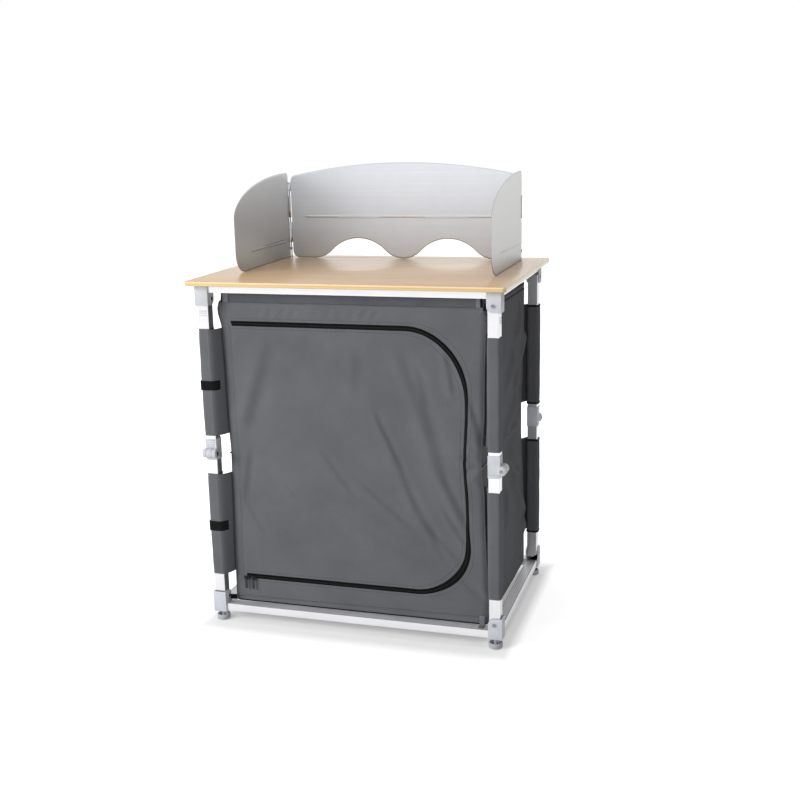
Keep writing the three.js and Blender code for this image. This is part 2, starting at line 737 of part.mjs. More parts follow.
for (const [index, side] of ['left', 'right'].entries()) {
  const x = doorLeft + sliderFromHinge + index * sliderPitch
  const z = doorBottom - sliderBelowZip
  const slider = add(unit, `zip_slider_${side}`, zipSlider(), materials.zip)
  slider.position.set(x, -bagHalfDepth, z)
  const pull = add(unit, `zip_pull_${side}`, zipPull(), materials.zip)
  pull.position.set(x, -bagHalfDepth + bailY, z)
}

add(unit, 'windscreen_panel', screenPanel(), materials.screen).position.set(screenShift, screenHingeY, 0)
for (const [name, side] of [['left', -1], ['right', 1]]) {
  const sheetWing = add(unit, `windscreen_wing_${name}`, wing(side), materials.screen)
  sheetWing.position.set(screenHingeX(side), screenHingeY, 0)
  sheetWing.rotation.z = -Math.PI / 2
  const rod = add(unit, `hinge_rod_${name}`, hingeRod(), materials.rod)
  rod.position.set(screenHingeX(side), screenHingeY, 0)
}

export default unit
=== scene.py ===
"""Looks of a folding camping kitchen unit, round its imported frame.

Every new piece is a surface worked out with numpy: a grid of points given by a formula of two
parameters, or a profile carried along a path. Lengths here are in millimetres in the model's own
frame (+X right, -Y front, +Z up) and become metres when a mesh is made. Metal, plastic and wood parts
are the model's own nodes, or copies of them with softened edges. The cloth, the zip, the straps, the
screw heads and the windscreen's sheets are new.
"""

import json
import math

import bmesh
import bpy
import numpy as np
from mathutils import Matrix, Vector

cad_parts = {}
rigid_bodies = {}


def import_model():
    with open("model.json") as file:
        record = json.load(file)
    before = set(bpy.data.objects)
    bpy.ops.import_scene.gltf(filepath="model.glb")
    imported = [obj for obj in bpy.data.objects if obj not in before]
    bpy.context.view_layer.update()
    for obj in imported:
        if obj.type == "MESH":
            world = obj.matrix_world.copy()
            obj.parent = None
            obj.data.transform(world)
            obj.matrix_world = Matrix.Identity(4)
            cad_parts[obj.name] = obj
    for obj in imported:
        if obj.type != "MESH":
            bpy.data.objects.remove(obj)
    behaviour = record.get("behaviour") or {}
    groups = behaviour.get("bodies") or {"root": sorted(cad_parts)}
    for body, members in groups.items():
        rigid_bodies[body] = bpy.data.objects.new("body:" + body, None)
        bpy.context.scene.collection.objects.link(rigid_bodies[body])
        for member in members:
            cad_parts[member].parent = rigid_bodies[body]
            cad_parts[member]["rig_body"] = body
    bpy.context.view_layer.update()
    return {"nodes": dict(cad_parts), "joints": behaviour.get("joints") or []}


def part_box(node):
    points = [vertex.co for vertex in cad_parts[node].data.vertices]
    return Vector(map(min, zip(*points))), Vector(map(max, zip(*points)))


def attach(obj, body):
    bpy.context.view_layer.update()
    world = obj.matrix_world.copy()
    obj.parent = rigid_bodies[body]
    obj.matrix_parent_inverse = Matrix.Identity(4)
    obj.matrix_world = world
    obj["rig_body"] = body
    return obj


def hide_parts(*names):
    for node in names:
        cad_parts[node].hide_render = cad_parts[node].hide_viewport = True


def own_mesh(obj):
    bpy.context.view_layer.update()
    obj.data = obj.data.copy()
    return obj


MM = 0.001

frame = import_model()
cad = frame["nodes"]


# Places, worked out from the frame
def box_of(node):
    """A node's lowest and highest corner in millimetres, to 0.01."""
    return np.round(np.array(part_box(node)) / MM, 2)


def axis_of(name):
    """A point on a joint's axis in millimetres, to 0.01."""
    joint = next(one for one in frame["joints"] if one["name"] == name)
    return np.round(np.array(joint["pos_m"]) / MM, 2)


CORNERS = {"front_right": (1, -1), "back_right": (1, 1), "back_left": (-1, 1), "front_left": (-1, -1)}
LEG_X, LEG_Y = np.abs(box_of("lower_leg_front_right").mean(0)[:2])
LOWER_PIVOT, UPPER_PIVOT = axis_of("fold")[2], axis_of("worktop_level")[2]
KNEE = axis_of("knee_front_right")[2]
KNEE_OUT = axis_of("knee_front_right")[0] - LEG_X

panel_low, panel_high = box_of("front_panel")
BAG_X, BAG_Y = panel_high[0], -panel_low[1]
BAG_BOTTOM, PANEL_TOP = panel_low[2], panel_high[2]
BAG_TOP = box_of("cabinet_bag")[1][2]
WALL_TOP = PANEL_TOP + 1.0
WALL_FRONT = -203.2
(DOOR_LEFT, _, DOOR_BOTTOM), (DOOR_RIGHT, _, DOOR_TOP) = box_of("door_flap")
UPPER_CORNER, LOWER_CORNER = (135.0, 155.0), (120.0, 118.0)
UNDER_SHELF = box_of("shelf_board")[0][2] - 1.25

TABLE_LOW, TABLE_TOP = box_of("table_top")[:, 2]
SCREEN_X = [box_of(f"hinge_rod_{side}").mean(0)[0] for side in ("left", "right")]
SCREEN_Y = box_of("hinge_rod_left").mean(0)[1]
SCREEN_HEIGHT = box_of("windscreen_panel")[1][2] - TABLE_TOP
WING_LENGTH = SCREEN_Y - box_of("windscreen_wing_left")[0][1]
WING_HEIGHT = box_of("windscreen_wing_left")[1][2] - TABLE_TOP

# How thick cloth, bindings and metal sheets are
CLOTH, TRIM, SHEET = 1.1, 0.9, 1.2


# Numbers and curves
def smooth(t):
    """3t^2 - 2t^3 between 0 and 1, flat outside."""
    t = np.clip(t, 0, 1)
    return t * t * (3 - 2 * t)


def window(x, low, high, fade):
    """1 between low and high, with a smooth way up and down just inside them."""
    return smooth((x - low) / fade) * smooth((high - x) / fade)


def bell(x, middle, width):
    """exp(-((x - middle) / width)^2)."""
    return np.exp(-(((x - middle) / width) ** 2))


def circle(radius, d):
    """How high a circle stands over its middle at the distance d from it: sqrt(radius^2 - d^2)."""
    return np.sqrt(np.maximum(radius**2 - d**2, 0))


def through(x, knots):
    """A soft curve through the knots (x, y): between two of them y goes over on 3t^2 - 2t^3."""
    xs, ys = np.array(sorted(knots), float).T
    i = np.clip(np.searchsorted(xs, x) - 1, 0, len(xs) - 2)
    return ys[i] + (ys[i + 1] - ys[i]) * smooth((x - xs[i]) / (xs[i + 1] - xs[i]))


def waves(a, b, seed, pitch):
    """Gentle unevenness between -1 and 1: the mean of sines in random directions, of about that pitch."""
    count = 7
    rng = np.random.default_rng(seed)
    total = np.zeros(np.broadcast(a, b).shape)
    for _ in range(count):
        angle, phase = rng.uniform(0, 2 * np.pi, 2)
        k = 2 * np.pi * rng.uniform(0.7, 1.5) / pitch
        total += np.sin(k * (a * np.cos(angle) + b * np.sin(angle)) + phase)
    return total / count


def against(a, b, start, end):
    """Where the points (a, b) lie against a line: the share of its length, and the distance to its side."""
    length = math.hypot(end[0] - start[0], end[1] - start[1])
    ua, ub = (end[0] - start[0]) / length, (end[1] - start[1]) / length
    share = ((a - start[0]) * ua + (b - start[1]) * ub) / length
    return share, (a - start[0]) * ub - (b - start[1]) * ua


def faded(t):
    """1 in the middle third, and a smooth way down over a third at each end."""
    return smooth(3 * t) * smooth(3 * (1 - t))


def creases(a, b, folds):
    """Soft creases in cloth over the plane (a, b). Each is (a0, b0, a1, b1, height, width): across its
    line it is height * exp(-(d / width)^2), and along the line it fades out over a third at each end."""
    total = np.zeros(np.broadcast(a, b).shape)
    for a0, b0, a1, b1, height, width in folds:
        t, d = against(a, b, (a0, b0), (a1, b1))
        total += height * bell(d, 0, width) * faded(t)
    return total


def tucks(a, b, lines):
    """Pulled cloth over the plane (a, b). Across each line (a0, b0, a1, b1, height, width), given from
    its top, it is a ridge on one side that goes over into a hollow on the other: 2.33 * height *
    (d / width) * exp(-(d / width)^2). It reaches a sixth past both ends of its line, and fades out
    over a third of that longer line at each."""
    peak, past = 2.33, 0.17
    total = np.zeros(np.broadcast(a, b).shape)
    for a0, b0, a1, b1, height, width in lines:
        t, d = against(a, b, (a0, b0), (a1, b1))
        t = (t + past) / (1 + 2 * past)
        total += peak * height * d / width * bell(d, 0, width) * faded(t)
    return total


def first(start, end, count):
    """Evenly spaced values along a grid's first way."""
    return np.linspace(start, end, count)[:, None]


def second(start, end, count):
    """Evenly spaced values along a grid's second way."""
    return np.linspace(start, end, count)[None, :]


def grid(*axes):
    """Points (n, m, 2 or 3) from two or three arrays that broadcast to (n, m)."""
    return np.stack(np.broadcast_arrays(*axes), -1).astype(float)


def carried_up(outline, z):
    """A grid of points: an outline (x, y) carried up through the heights z."""
    return grid(outline[:, :1], outline[:, 1:], z)


def carried_along(profile, x):
    """A grid of points: a profile (y, z) carried along X."""
    return grid(x, profile[:, 0], profile[:, 1])


def arc(cx, cz, rx, rz, start, end, count):
    """Points of an ellipse's arc, between two angles in degrees."""
    t = np.radians(np.linspace(start, end, count))
    return np.stack([cx + rx * np.cos(t), cz + rz * np.sin(t)], -1)


def line(start, end, count):
    """Evenly spaced points from start to end."""
    return np.linspace(np.array(start, float), np.array(end, float), count)


def chain(*runs):
    """Runs of points as one path, with each joint's double point left out."""
    return np.concatenate([runs[0]] + [run[1:] for run in runs[1:]])


def looped(path):
    """A closed path with its first point again at its end."""
    return np.concatenate([path, path[:1]])


def lengths(path):
    """Distance along a path to each of its points."""
    return np.concatenate([[0], np.cumsum(np.linalg.norm(np.diff(path, axis=0), axis=1))])


def along(path, at, values=None):
    """The path's points, or the values that go with them, at the distances at along it."""
    values = path if values is None else values
    s = lengths(path)
    return np.stack([np.interp(at, s, values[:, k]) for k in range(values.shape[1])], -1)


def respaced(path, step):
    """The same open path with points about one step apart."""
    length = lengths(path)[-1]
    return along(path, np.linspace(0, length, max(2, round(length / step) + 1)))


def sideways(path):
    """Unit normals of a flat path, to the right of its direction."""
    t = np.gradient(path, axis=0)
    t /= np.linalg.norm(t, axis=1, keepdims=True)
    return np.stack([t[:, 1], -t[:, 0]], -1)


# Meshes
def patch(points, uv=None, wrap=(False, False), facing=None):
    """Quads of a grid of points (n, m, 3). uv is the grid's own (n, m, 2) in millimetres, or else the
    arc length both ways. wrap closes the grid. facing is the side that its faces look to: a vector,
    or None for a closed body, whose faces look away from its middle."""
    n, m = points.shape[:2]
    if uv is None:
        axes = []
        for k, closed in enumerate(wrap):
            step = np.linalg.norm(np.diff(points, axis=k), axis=2).mean(1 - k)
            closing = np.linalg.norm(np.take(points, 0, k) - np.take(points, -1, k), axis=1).mean()
            axes.append(np.concatenate([[0], np.cumsum(step), [step.sum() + closing] * closed]))
        uv = np.stack(np.meshgrid(*axes, indexing="ij"), -1)
    i = np.arange(n - (not wrap[0]))[:, None]
    j = np.arange(m - (not wrap[1]))[None, :]
    corners = [(0, 0), (1, 0), (1, 1), (0, 1)]
    faces = np.stack([((i + a) % n) * m + (j + b) % m for a, b in corners], -1).reshape(-1, 4)
    loops = np.stack([uv[i + a, j + b] for a, b in corners], -2).reshape(-1, 4, 2)
    flat = points.reshape(-1, 3)
    p = flat[faces]
    normal = np.cross(p[:, 2] - p[:, 0], p[:, 3] - p[:, 1])
    look = p.mean(1) - flat.mean(0) if facing is None else np.array(facing, float)
    if (normal * look).sum() < 0:
        faces, loops = faces[:, ::-1], loops[:, ::-1]
    return flat, faces, loops


def capped(points):
    """The patches of a tube: a grid that closes round its second way, and a fan over each open end."""
    fans = []
    for end, inner in ((0, 1), (-1, -2)):
        ring = points[end]
        centre = np.broadcast_to(ring.mean(0), ring.shape)
        outwards = ring.mean(0) - points[inner].mean(0)
        fans.append(patch(np.stack([ring, centre], 1), wrap=(True, False), facing=outwards))
    return [patch(points, wrap=(False, True)), *fans]


def shown(name, mesh, finish, body):
    """A mesh as an object with smooth faces and one finish, which rides on its body."""
    mesh.polygons.foreach_set("use_smooth", [True] * len(mesh.polygons))
    mesh.materials.clear()
    mesh.materials.append(FINISHES[finish])
    thing = bpy.data.objects.new(name, mesh)
    bpy.context.scene.collection.objects.link(thing)
    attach(thing, body)
    return thing


def cleaned(mesh, double, last_step):
    """A mesh with its doubles merged and one more step of cleaning run on it."""
    work = bmesh.new()
    work.from_mesh(mesh)
    bmesh.ops.remove_doubles(work, verts=work.verts, dist=double * MM)
    last_step(work)
    work.to_mesh(mesh)
    work.free()
    return mesh


def piece(name, patches, finish, body, thickness=0.0):
    """One object from patches: doubles merged, and a wall given to an open sheet."""
    points, faces, loops = zip(*patches)
    starts = np.cumsum([0] + [len(one) for one in points])
    faces = [one + start for one, start in zip(faces, starts)]
    mesh = bpy.data.meshes.new(name)
    mesh.from_pydata((np.concatenate(points) * MM).tolist(), [], np.concatenate(faces).tolist())
    layer = mesh.uv_layers.new(name="UVMap")
    layer.data.foreach_set("uv", (np.concatenate(loops) * MM).astype(np.float32).ravel())
    cleaned(mesh, 0.002, lambda work: bmesh.ops.dissolve_degenerate(work, edges=work.edges, dist=0.001 * MM))
    thing = shown(name, mesh, finish, body)
    if thickness:
        wall = thing.modifiers.new("wall", "SOLIDIFY")
        wall.thickness = thickness * MM
        wall.offset = -1
        wall.use_even_offset = False
    return thing


def soften_edges(thing, width):
    """A small rounding on every sharp edge, with the flats kept flat."""
    round_off = thing.modifiers.new("edges", "BEVEL")
    round_off.width = width * MM
    round_off.segments = 2
    round_off.limit_method = "ANGLE"
    round_off.angle_limit = math.radians(32)
    round_off.harden_normals = True


def softened(node, finish, slot, width):
    """A copy of a model node with its triangles merged to flats and its edges rounded off."""
    def to_flats(work):
        angle = math.radians(0.6)
        bmesh.ops.dissolve_limit(work, angle_limit=angle, verts=work.verts, edges=work.edges)

    mesh = cleaned(cad[node].data.copy(), 0.01, to_flats)
    thing = shown("soft_" + node, mesh, finish, cad[node]["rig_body"])
    soften_edges(thing, width)
    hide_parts(node)


def dress(name, finish):
    """A model node shown as it is, in a finish of its own."""
    slots = cad[name].data.materials
    slots.clear()
    slots.append(FINISHES[finish])


def flatten(thing):
    """Cabinet cloth: the piece gets a copy of its mesh as its own."""
    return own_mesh(thing)


# Finishes
def linear(r, g, b):
    """An sRGB colour of 0 to 255 as linear RGBA."""
    c = np.array([r, g, b]) / 255
    return (*np.where(c <= 0.04045, c / 12.92, ((c + 0.055) / 1.055) ** 2.4).tolist(), 1.0)


class Tree:
    """The nodes of a material or a world, with the constants set on the shader's own sockets."""

    def __init__(self, owner, shader="Principled BSDF", **sockets):
        owner.use_nodes = True
        self.owner = owner
        self.nodes, self.links = owner.node_tree.nodes, owner.node_tree.links
        self.shader = self.nodes[shader]
        place = self.add("TexCoord").outputs
        self.where, self.uv = place["Object"], place["UV"]
        for key, value in sockets.items():
            self.shader.inputs[key.replace("_", " ")].default_value = value

    def add(self, kind, settings=None, **inputs):
        """A new node. Its inputs go by name, or by number as in0, in1 and so on."""
        node = self.nodes.new("ShaderNode" + kind)
        for key, value in (settings or {}).items():
            setattr(node, key, value)
        for key, value in inputs.items():
            numbered = key.startswith("in") and key[2:].isdigit()
            socket = node.inputs[int(key[2:]) if numbered else key.replace("_", " ")]
            if isinstance(value, bpy.types.NodeSocket):
                self.links.new(value, socket)
            else:
                socket.default_value = value
        return node

    def scaled(self, vector, scale):
        """Coordinates times a scale for each axis."""
        return self.add("Mapping", Vector=vector, Scale=scale).outputs["Vector"]

    def noise(self, vector, scale, detail=3.0, roughness=0.55):
        node = self.add("TexNoise", Vector=vector, Scale=scale, Detail=detail, Roughness=roughness)
        return node.outputs["Fac"]

    def ramp(self, factor, *stops):
        """Colours at their stops along a factor."""
        node = self.add("ValToRGB", Fac=factor)
        band = node.color_ramp.elements
        while len(band) < len(stops):
            band.new(0.5)
        for element, (at, colour) in zip(band, stops):
            element.position = at
            element.color = colour
        return node.outputs["Color"]

    def clouded(self, factor, rgb, spread):
        """From a darker to a lighter version of an sRGB colour."""
        dark, light = [linear(*[min(255, max(0, c * (1 + k))) for c in rgb]) for k in (-spread, spread)]
        return self.ramp(factor, (0.3, dark), (0.7, light))

    def mix(self, factor, a, b, way="MIX"):
        """Two colours mixed. A mix node's factor is its input 0, and its colours are 6 and 7."""
        return self.add("Mix", {"data_type": "RGBA", "blend_type": way}, in0=factor, in6=a, in7=b).outputs[2]

    def maths(self, way, a, b=0.0):
        return self.add("Math", {"operation": way}, in0=a, in1=b).outputs[0]

    def stretch(self, value, low, high, start=0.0, end=1.0):
        """From low to high as the value goes from start to end."""
        return self.add("MapRange", Value=value, From_Min=start, From_Max=end, To_Min=low,
                        To_Max=high).outputs[0]

    def part(self, vector, letter):
        """One axis of a vector."""
        return self.add("SeparateXYZ", Vector=vector).outputs[letter]

    def grey(self, value):
        """A value as a colour."""
        return self.add("CombineColor", in0=value, in1=value, in2=value).outputs[0]

    def direct(self):
        """1 on rays from the camera and in gloss, and 0 on the rays that light the object."""
        path = self.add("LightPath").outputs
        return self.maths("MAXIMUM", path["Is Camera Ray"], path["Is Glossy Ray"])

    def join(self, value, socket):
        self.links.new(value, self.shader.inputs[socket])

    def bump(self, height, distance, strength):
        node = self.add("Bump", Height=height, Distance=distance * MM, Strength=strength)
        self.join(node.outputs["Normal"], "Normal")
        return self.owner


def fresh(name, **sockets):
    """The tree of a new material."""
    return Tree(bpy.data.materials.new(name), **sockets)


def woven(name, rgb, pitch=0.9, spread=0.05, roughness=0.85):
    """Coated plain weave on the cloth's own UV: crossed threads with thicker ones among them, a fine
    melange and broad unevenness."""
    tree = fresh(name, Roughness=roughness, Specular_IOR_Level=0.12)
    scale = 2 * math.pi / (20 * pitch * MM)
    threads = [tree.add("TexWave", {"bands_direction": way}, Vector=tree.uv, Scale=scale).outputs["Fac"]
               for way in ("X", "Y")]
    weave = tree.maths("MULTIPLY", *threads)
    broad = tree.clouded(tree.noise(tree.uv, 7.0, 4.0), rgb, spread)
    thick = [tree.noise(tree.scaled(tree.uv, way), 1.0, 2.0) for way in ((420, 34, 1), (34, 420, 1))]
    melange = tree.stretch(tree.noise(tree.uv, 800.0, 2.0), -0.22, 0.22)
    grain = tree.maths("ADD", melange, tree.stretch(tree.maths("ADD", *thick), 0.8, 1.0))
    tree.join(tree.mix(1.0, broad, tree.grey(grain), "MULTIPLY"), "Base Color")
    height = tree.maths("ADD", tree.maths("MULTIPLY", weave, 0.6), tree.noise(tree.uv, 900.0, 2.0))
    return tree.bump(height, 0.12, 0.5)


def metal_paint(name, rgb, metallic, roughness, along_axes=(8, 900, 900), low=1.0):
    """Satin metal on object coordinates: fine lines one way, and slightly uneven gloss. Where low is
    under 1, its colour is multiplied by low at the worktop, a painted shade that fades out over the next
    0.2 m."""
    tree = fresh(name, Metallic=metallic)
    lines = tree.noise(tree.scaled(tree.where, along_axes), 1.0)
    cloud = tree.noise(tree.where, 14.0)
    tone = tree.clouded(tree.mix(0.5, lines, cloud), rgb, 0.025)
    # painted shade: the colour is darker towards the worktop and fades out over 0.2 m above it
    if low < 1:
        table = TABLE_TOP * MM
        clear = tree.stretch(tree.part(tree.where, "Z"), low, 1.0, table, table + 0.2)
        tone = tree.mix(1.0, tone, tree.grey(clear), "MULTIPLY")
    tree.join(tone, "Base Color")
    tree.join(tree.stretch(cloud, roughness - 0.05, roughness + 0.06), "Roughness")
    return tree.bump(lines, 0.02, 0.35)


def moulded(name, rgb, roughness=0.42, spread=0.03, specular=0.3):
    """Moulded plastic: fine spark-eroded grain and faint clouding."""
    tree = fresh(name, Specular_IOR_Level=specular)
    cloud = tree.noise(tree.where, 30.0)
    tree.join(tree.clouded(cloud, rgb, spread), "Base Color")
    tree.join(tree.stretch(cloud, roughness - 0.05, roughness + 0.05), "Roughness")
    return tree.bump(tree.noise(tree.where, 1800.0, 2.0), 0.03, 0.4)


def laminate(name):
    """Satin wood-grain laminate: long grain along X, paler and darker strips, and a bare banded edge
    whose layers go by height."""
    tree = fresh(name, Specular_IOR_Level=0.5, Coat_Weight=0.8, Coat_Roughness=0.24)
    streaks = tree.noise(tree.scaled(tree.where, (3.0, 130.0, 130.0)), 1.0, 6.0, 0.62)
    strips = tree.noise(tree.scaled(tree.where, (0.9, 22.0, 22.0)), 1.0, 2.0)
    pores = tree.noise(tree.scaled(tree.where, (22.0, 1300.0, 1300.0)), 1.0, 2.0)
    grain = tree.ramp(streaks, (0.28, linear(178, 137, 88)), (0.5, linear(204, 168, 120)),
                      (0.72, linear(222, 194, 152)))
    toned = tree.mix(tree.stretch(strips, 0.0, 0.55), grain, linear(190, 151, 102))
    pored = tree.mix(tree.stretch(pores, 0.0, 0.3), toned, linear(158, 118, 72))
    normal = tree.part(tree.add("NewGeometry").outputs["Normal"], "Z")
    upright = tree.maths("LESS_THAN", tree.maths("ABSOLUTE", normal), 0.55)
    low, top = (TABLE_LOW + 0.2) * MM, TABLE_TOP * MM
    layer = tree.stretch(tree.part(tree.where, "Z"), 0.0, 1.0, low, top)
    edge = tree.ramp(layer, (0.08, linear(206, 172, 118)), (0.3, linear(232, 200, 148)),
                     (0.48, linear(208, 174, 104)), (0.7, linear(238, 202, 138)),
                     (0.9, linear(250, 226, 184)))
    tree.join(tree.mix(upright, pored, edge), "Base Color")
    tree.join(tree.stretch(streaks, 0.28, 0.4), "Roughness")
    return tree.bump(streaks, 0.03, 0.3)


FINISHES = {
    "laminate": laminate("wood_grain_laminate"),
    "frame": metal_paint("satin_aluminium_tube", (212, 212, 214), 0.97, 0.3, (900, 900, 8)),
    "rail": metal_paint("satin_aluminium_rail", (228, 228, 231), 0.7, 0.32),
    "fitting": moulded("light_grey_fitting", (203, 205, 212)),
    "foot": moulded("grey_foot", (178, 180, 187), 0.5),
    "dark_screw": moulded("black_screw", (34, 34, 37), 0.3, 0.03, 0.5),
    "steel": metal_paint("plated_steel", (138, 139, 144), 1.0, 0.25, (600, 600, 600)),
    "cloth": woven("grey_coated_weave", (102, 103, 106)),
    # a darker copy of the cabinet cloth for the valances: painted shade under the rails
    "dark_cloth": woven("valance_weave", (90, 91, 94)),
    "sleeve": woven("sleeve_weave", (104, 105, 109)),
    # a darker copy of the sleeve cloth for the back legs: painted shade
    "back_sleeve": woven("back_sleeve_weave", (92, 93, 97)),
    "binding": woven("black_binding", (17, 17, 18), 0.7, 0.1, 0.7),
    "webbing": woven("grey_webbing", (118, 118, 124), 1.6, 0.1),
    "tape": woven("zip_tape", (12, 12, 13), 0.6, 0.1, 0.8),
    "thread": woven("sewing_thread", (50, 50, 54), 0.4, 0.05, 0.6),
    "coil": moulded("zip_coil", (16, 16, 17), 0.5, 0.03, 0.2),
    "zip_metal": metal_paint("dark_zip_metal", (15, 15, 16), 0.0, 0.45, (300, 300, 300)),
    "board": moulded("painted_board", (96, 95, 98), 0.7, 0.06),
    # the screen and the wings are darker towards the worktop, painted shade; the wings' metal is a darker
    # copy of the screen's, also painted shade
    "screen": metal_paint("brushed_aluminium_sheet", (224, 228, 235), 0.9, 0.42, (3, 3, 700), 0.84),
    "wing": metal_paint("aluminium_sheet_painted_shade", (202, 202, 201), 0.93, 0.38, (3, 3, 700), 0.66),
}

# Cabinet cloth. The edges are (z, x), the rear swell is (z, how far out), and the folds and tucks are
# (x, z) or (y, z) from end to end, with their height and width
FRONT_LEFT_EDGE = [(44, -298), (104, -297.5), (349, -292.5), (409, -291.5), (446, -293), (600, -295),
                   (686, -297), (731, -305), (748, -304)]
FRONT_RIGHT_EDGE = [(44, 305), (82, 306.5), (323, 299), (408, 292.5), (535, 300), (738, 304), (748, 303)]
WALL_REAR_SWELL = [(44, 9), (200, 8), (400, 2), (704, 9), (785, 7)]
FRONT_FOLDS = [
    (66, 469, 154, 257, 2.6, 11), (23, 330, 137, 256, 2.2, 9), (-63, 279, 174, 175, 2.4, 12),
    (129, 615, 256, 293, 3.4, 26), (82, 449, 229, 214, 2.6, 15), (-219, 601, -294, 427, 3.2, 24),
    (-176, 327, -136, 313, 1.6, 8), (-10, 636, 72, 491, 2.4, 26), (264, 501, 292, 435, 2.2, 9),
    (273, 396, 291, 355, 2.2, 8), (277, 157, 305, 87, 2.0, 8), (200, 99, 281, 62, 1.8, 9),
    (213, 598, 233, 547, 1.6, 10), (-240, 380, -150, 200, 1.6, 26), (-120, 560, -30, 380, 1.6, 30),
    (244, 430, 300, 409, -4.2, 6), (252, 388, 300, 404, -3.8, 6), (262, 452, 299, 418, 3.2, 7),
    (264, 366, 299, 398, 2.8, 7), (236, 414, 292, 408, 2.4, 6),
]
FRONT_TUCKS = [
    (112, 655, 176, 495, 3.0, 20), (168, 515, 210, 365, 4.0, 21), (204, 385, 258, 268, 3.4, 14),
    (56, 515, 112, 398, 2.2, 9), (106, 412, 148, 300, 1.5, 10), (2, 366, 140, 249, 1.7, 10),
    (-16, 260, 198, 165, 1.2, 5), (-72, 420, 10, 309, 1.5, 10), (18, 655, 14, 545, 1.4, 18),
    (-184, 656, -254, 457, 3.6, 24), (-246, 415, -270, 285, 2.2, 14), (216, 655, 234, 565, 1.6, 9),
    (264, 555, 301, 440, 2.0, 10), (163, 270, 249, 177, 2.2, 9), (-22, 298, 109, 239, 1.1, 7),
    (203, 312, 260, 218, 1.8, 9), (238, 148, 308, 70, 1.8, 9), (-162, 333, -135, 313, 1.0, 4),
    (-260, 280, -214, 205, 1.1, 8), (150, 628, 174, 535, 1.5, 12), (136, 330, 207, 190, 2.0, 12),
]
RIGHT_FOLDS = [
    (150, 717, 91, 613, 3.2, 14), (91, 613, 11, 522, 3.0, 14), (220, 638, 139, 556, 2.6, 12),
    (139, 556, 91, 503, 2.6, 12), (139, 492, -1, 416, 3.0, 14), (176, 414, -12, 414, 2.6, 8),
    (44, 380, 177, 302, 3.0, 14), (177, 297, 43, 297, 2.0, 10), (44, 350, 165, 171, 3.2, 15),
    (165, 171, 209, 119, 2.4, 12), (9, 322, -4, 169, 2.4, 14), (209, 161, 140, 241, 2.4, 13),
    (-150, 640, -60, 470, 2.6, 16), (-160, 330, -90, 160, 2.4, 16),
]


def front_edge(x_side, z):
    """Where the front's left (-1) or right (1) edge stands at the heights z."""
    return through(z, FRONT_LEFT_EDGE if x_side < 0 else FRONT_RIGHT_EDGE)


def ripples(x, z):
    """The gathered band over the zip: slanted cosine ripples of uneven height and pitch, which fade
    out on a bell above and below."""
    level, half_height, pitch, slope = 729, 12, 27, 0.5
    slant = x + slope * (level + 2 - z) + 9 * waves(x, 0 * z, seed=71, pitch=110)
    height = window(x, -235, 95, 30) * (0.6 + 0.5 * waves(x, 0 * z, seed=72, pitch=90))
    return np.cos(2 * np.pi * slant / pitch) * bell(z, level, half_height) * height


def front_hem(x, z):
    """The groove of the bottom seam, which rises by 3 mm from left to right."""
    depth, width, left, rise, run = 2.0, 2.0, (-286, 53), 3.0, 590
    return -depth * bell(z - left[1] - rise * (x - left[0]) / run, 0, width)


def front_cloth(x, z):
    """Points of the cabinet's front cloth. Its ends follow the front's edges, which are drawn in at
    the shelf, its middle stands 3.4 mm proud, its ends turn back on a quadratic, and creases, tucks,
    ripples and the hem lie over it."""
    belly, turn, turn_width, fade = 3.4, 5.0, 12.5, 90
    left, right = front_edge(-1, z) + BAG_X, front_edge(1, z) - BAG_X
    moved = x + smooth((np.abs(x) - 190) / 110) * np.where(x < 0, left, right)
    proud = belly * (1 - (x / 300) ** 4) * window(z, DOOR_BOTTOM + 2, DOOR_TOP - 7, fade)
    back = turn * np.clip((np.abs(x) - (BAG_X - turn_width)) / turn_width, 0, 1) ** 2
    calm = 1 - 0.85 * bell(z, DOOR_BOTTOM, 16) * smooth((-190 - x) / 40)
    relief = (0.8 * creases(x, z, FRONT_FOLDS) + tucks(x, z, FRONT_TUCKS)) * calm
    relief = relief + 0.7 * waves(x, z, seed=11, pitch=120) + ripples(x, z) + front_hem(x, z)
    relief = relief * smooth((PANEL_TOP + 4 - z) / 20)
    return grid(moved, -BAG_Y - proud - relief + back, z)


def on_front(flat, proud):
    """Points on the front cloth at (x, z), standing a little proud of it."""
    points = front_cloth(flat[..., 0], flat[..., 1])
    points[..., 1] -= proud
    return points


# How many points the door's straight runs along X have, in its outline and in the front's
RUN = 110


def door_edge(outwards=0.0):
    """The door's outline beyond its sewn edge, from lower left to upper left: straight, quarter
    ellipse, straight, quarter ellipse, straight."""
    bottom, right, top = DOOR_BOTTOM - outwards, DOOR_RIGHT + outwards, DOOR_TOP + outwards
    (ux, uz), (lx, lz) = UPPER_CORNER, LOWER_CORNER
    return chain(
        line((DOOR_LEFT, bottom), (right - lx, bottom), RUN),
        arc(right - lx, bottom + lz, lx, lz, -90, 0, 40),
        line((right, bottom + lz), (right, top - uz), 70),
        arc(right - ux, top - uz, ux, uz, 0, 90, 46),
        line((right - ux, top), (DOOR_LEFT, top), RUN))


def door_cloth():
    """The door: rows from the sewn edge across to the outline, close together in its corners."""
    curve = door_edge()[RUN - 1:1 - RUN]
    x = DOOR_LEFT + (curve[:, :1] - DOOR_LEFT) * second(0, 1, 200)
    z = curve[:, 1:]
    thing = piece("door_cloth", [patch(front_cloth(x, z), grid(x, z), facing=(0, -1, 0))],
                  "cloth", "door", CLOTH)
    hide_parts("door_flap")
    sewn = [*zip_half(-1, "door", "zip_door_half"),
            stitches("zip_stitching_door", respaced(door_edge(-SEAM), 2.0), "door")]
    flatten(thing)


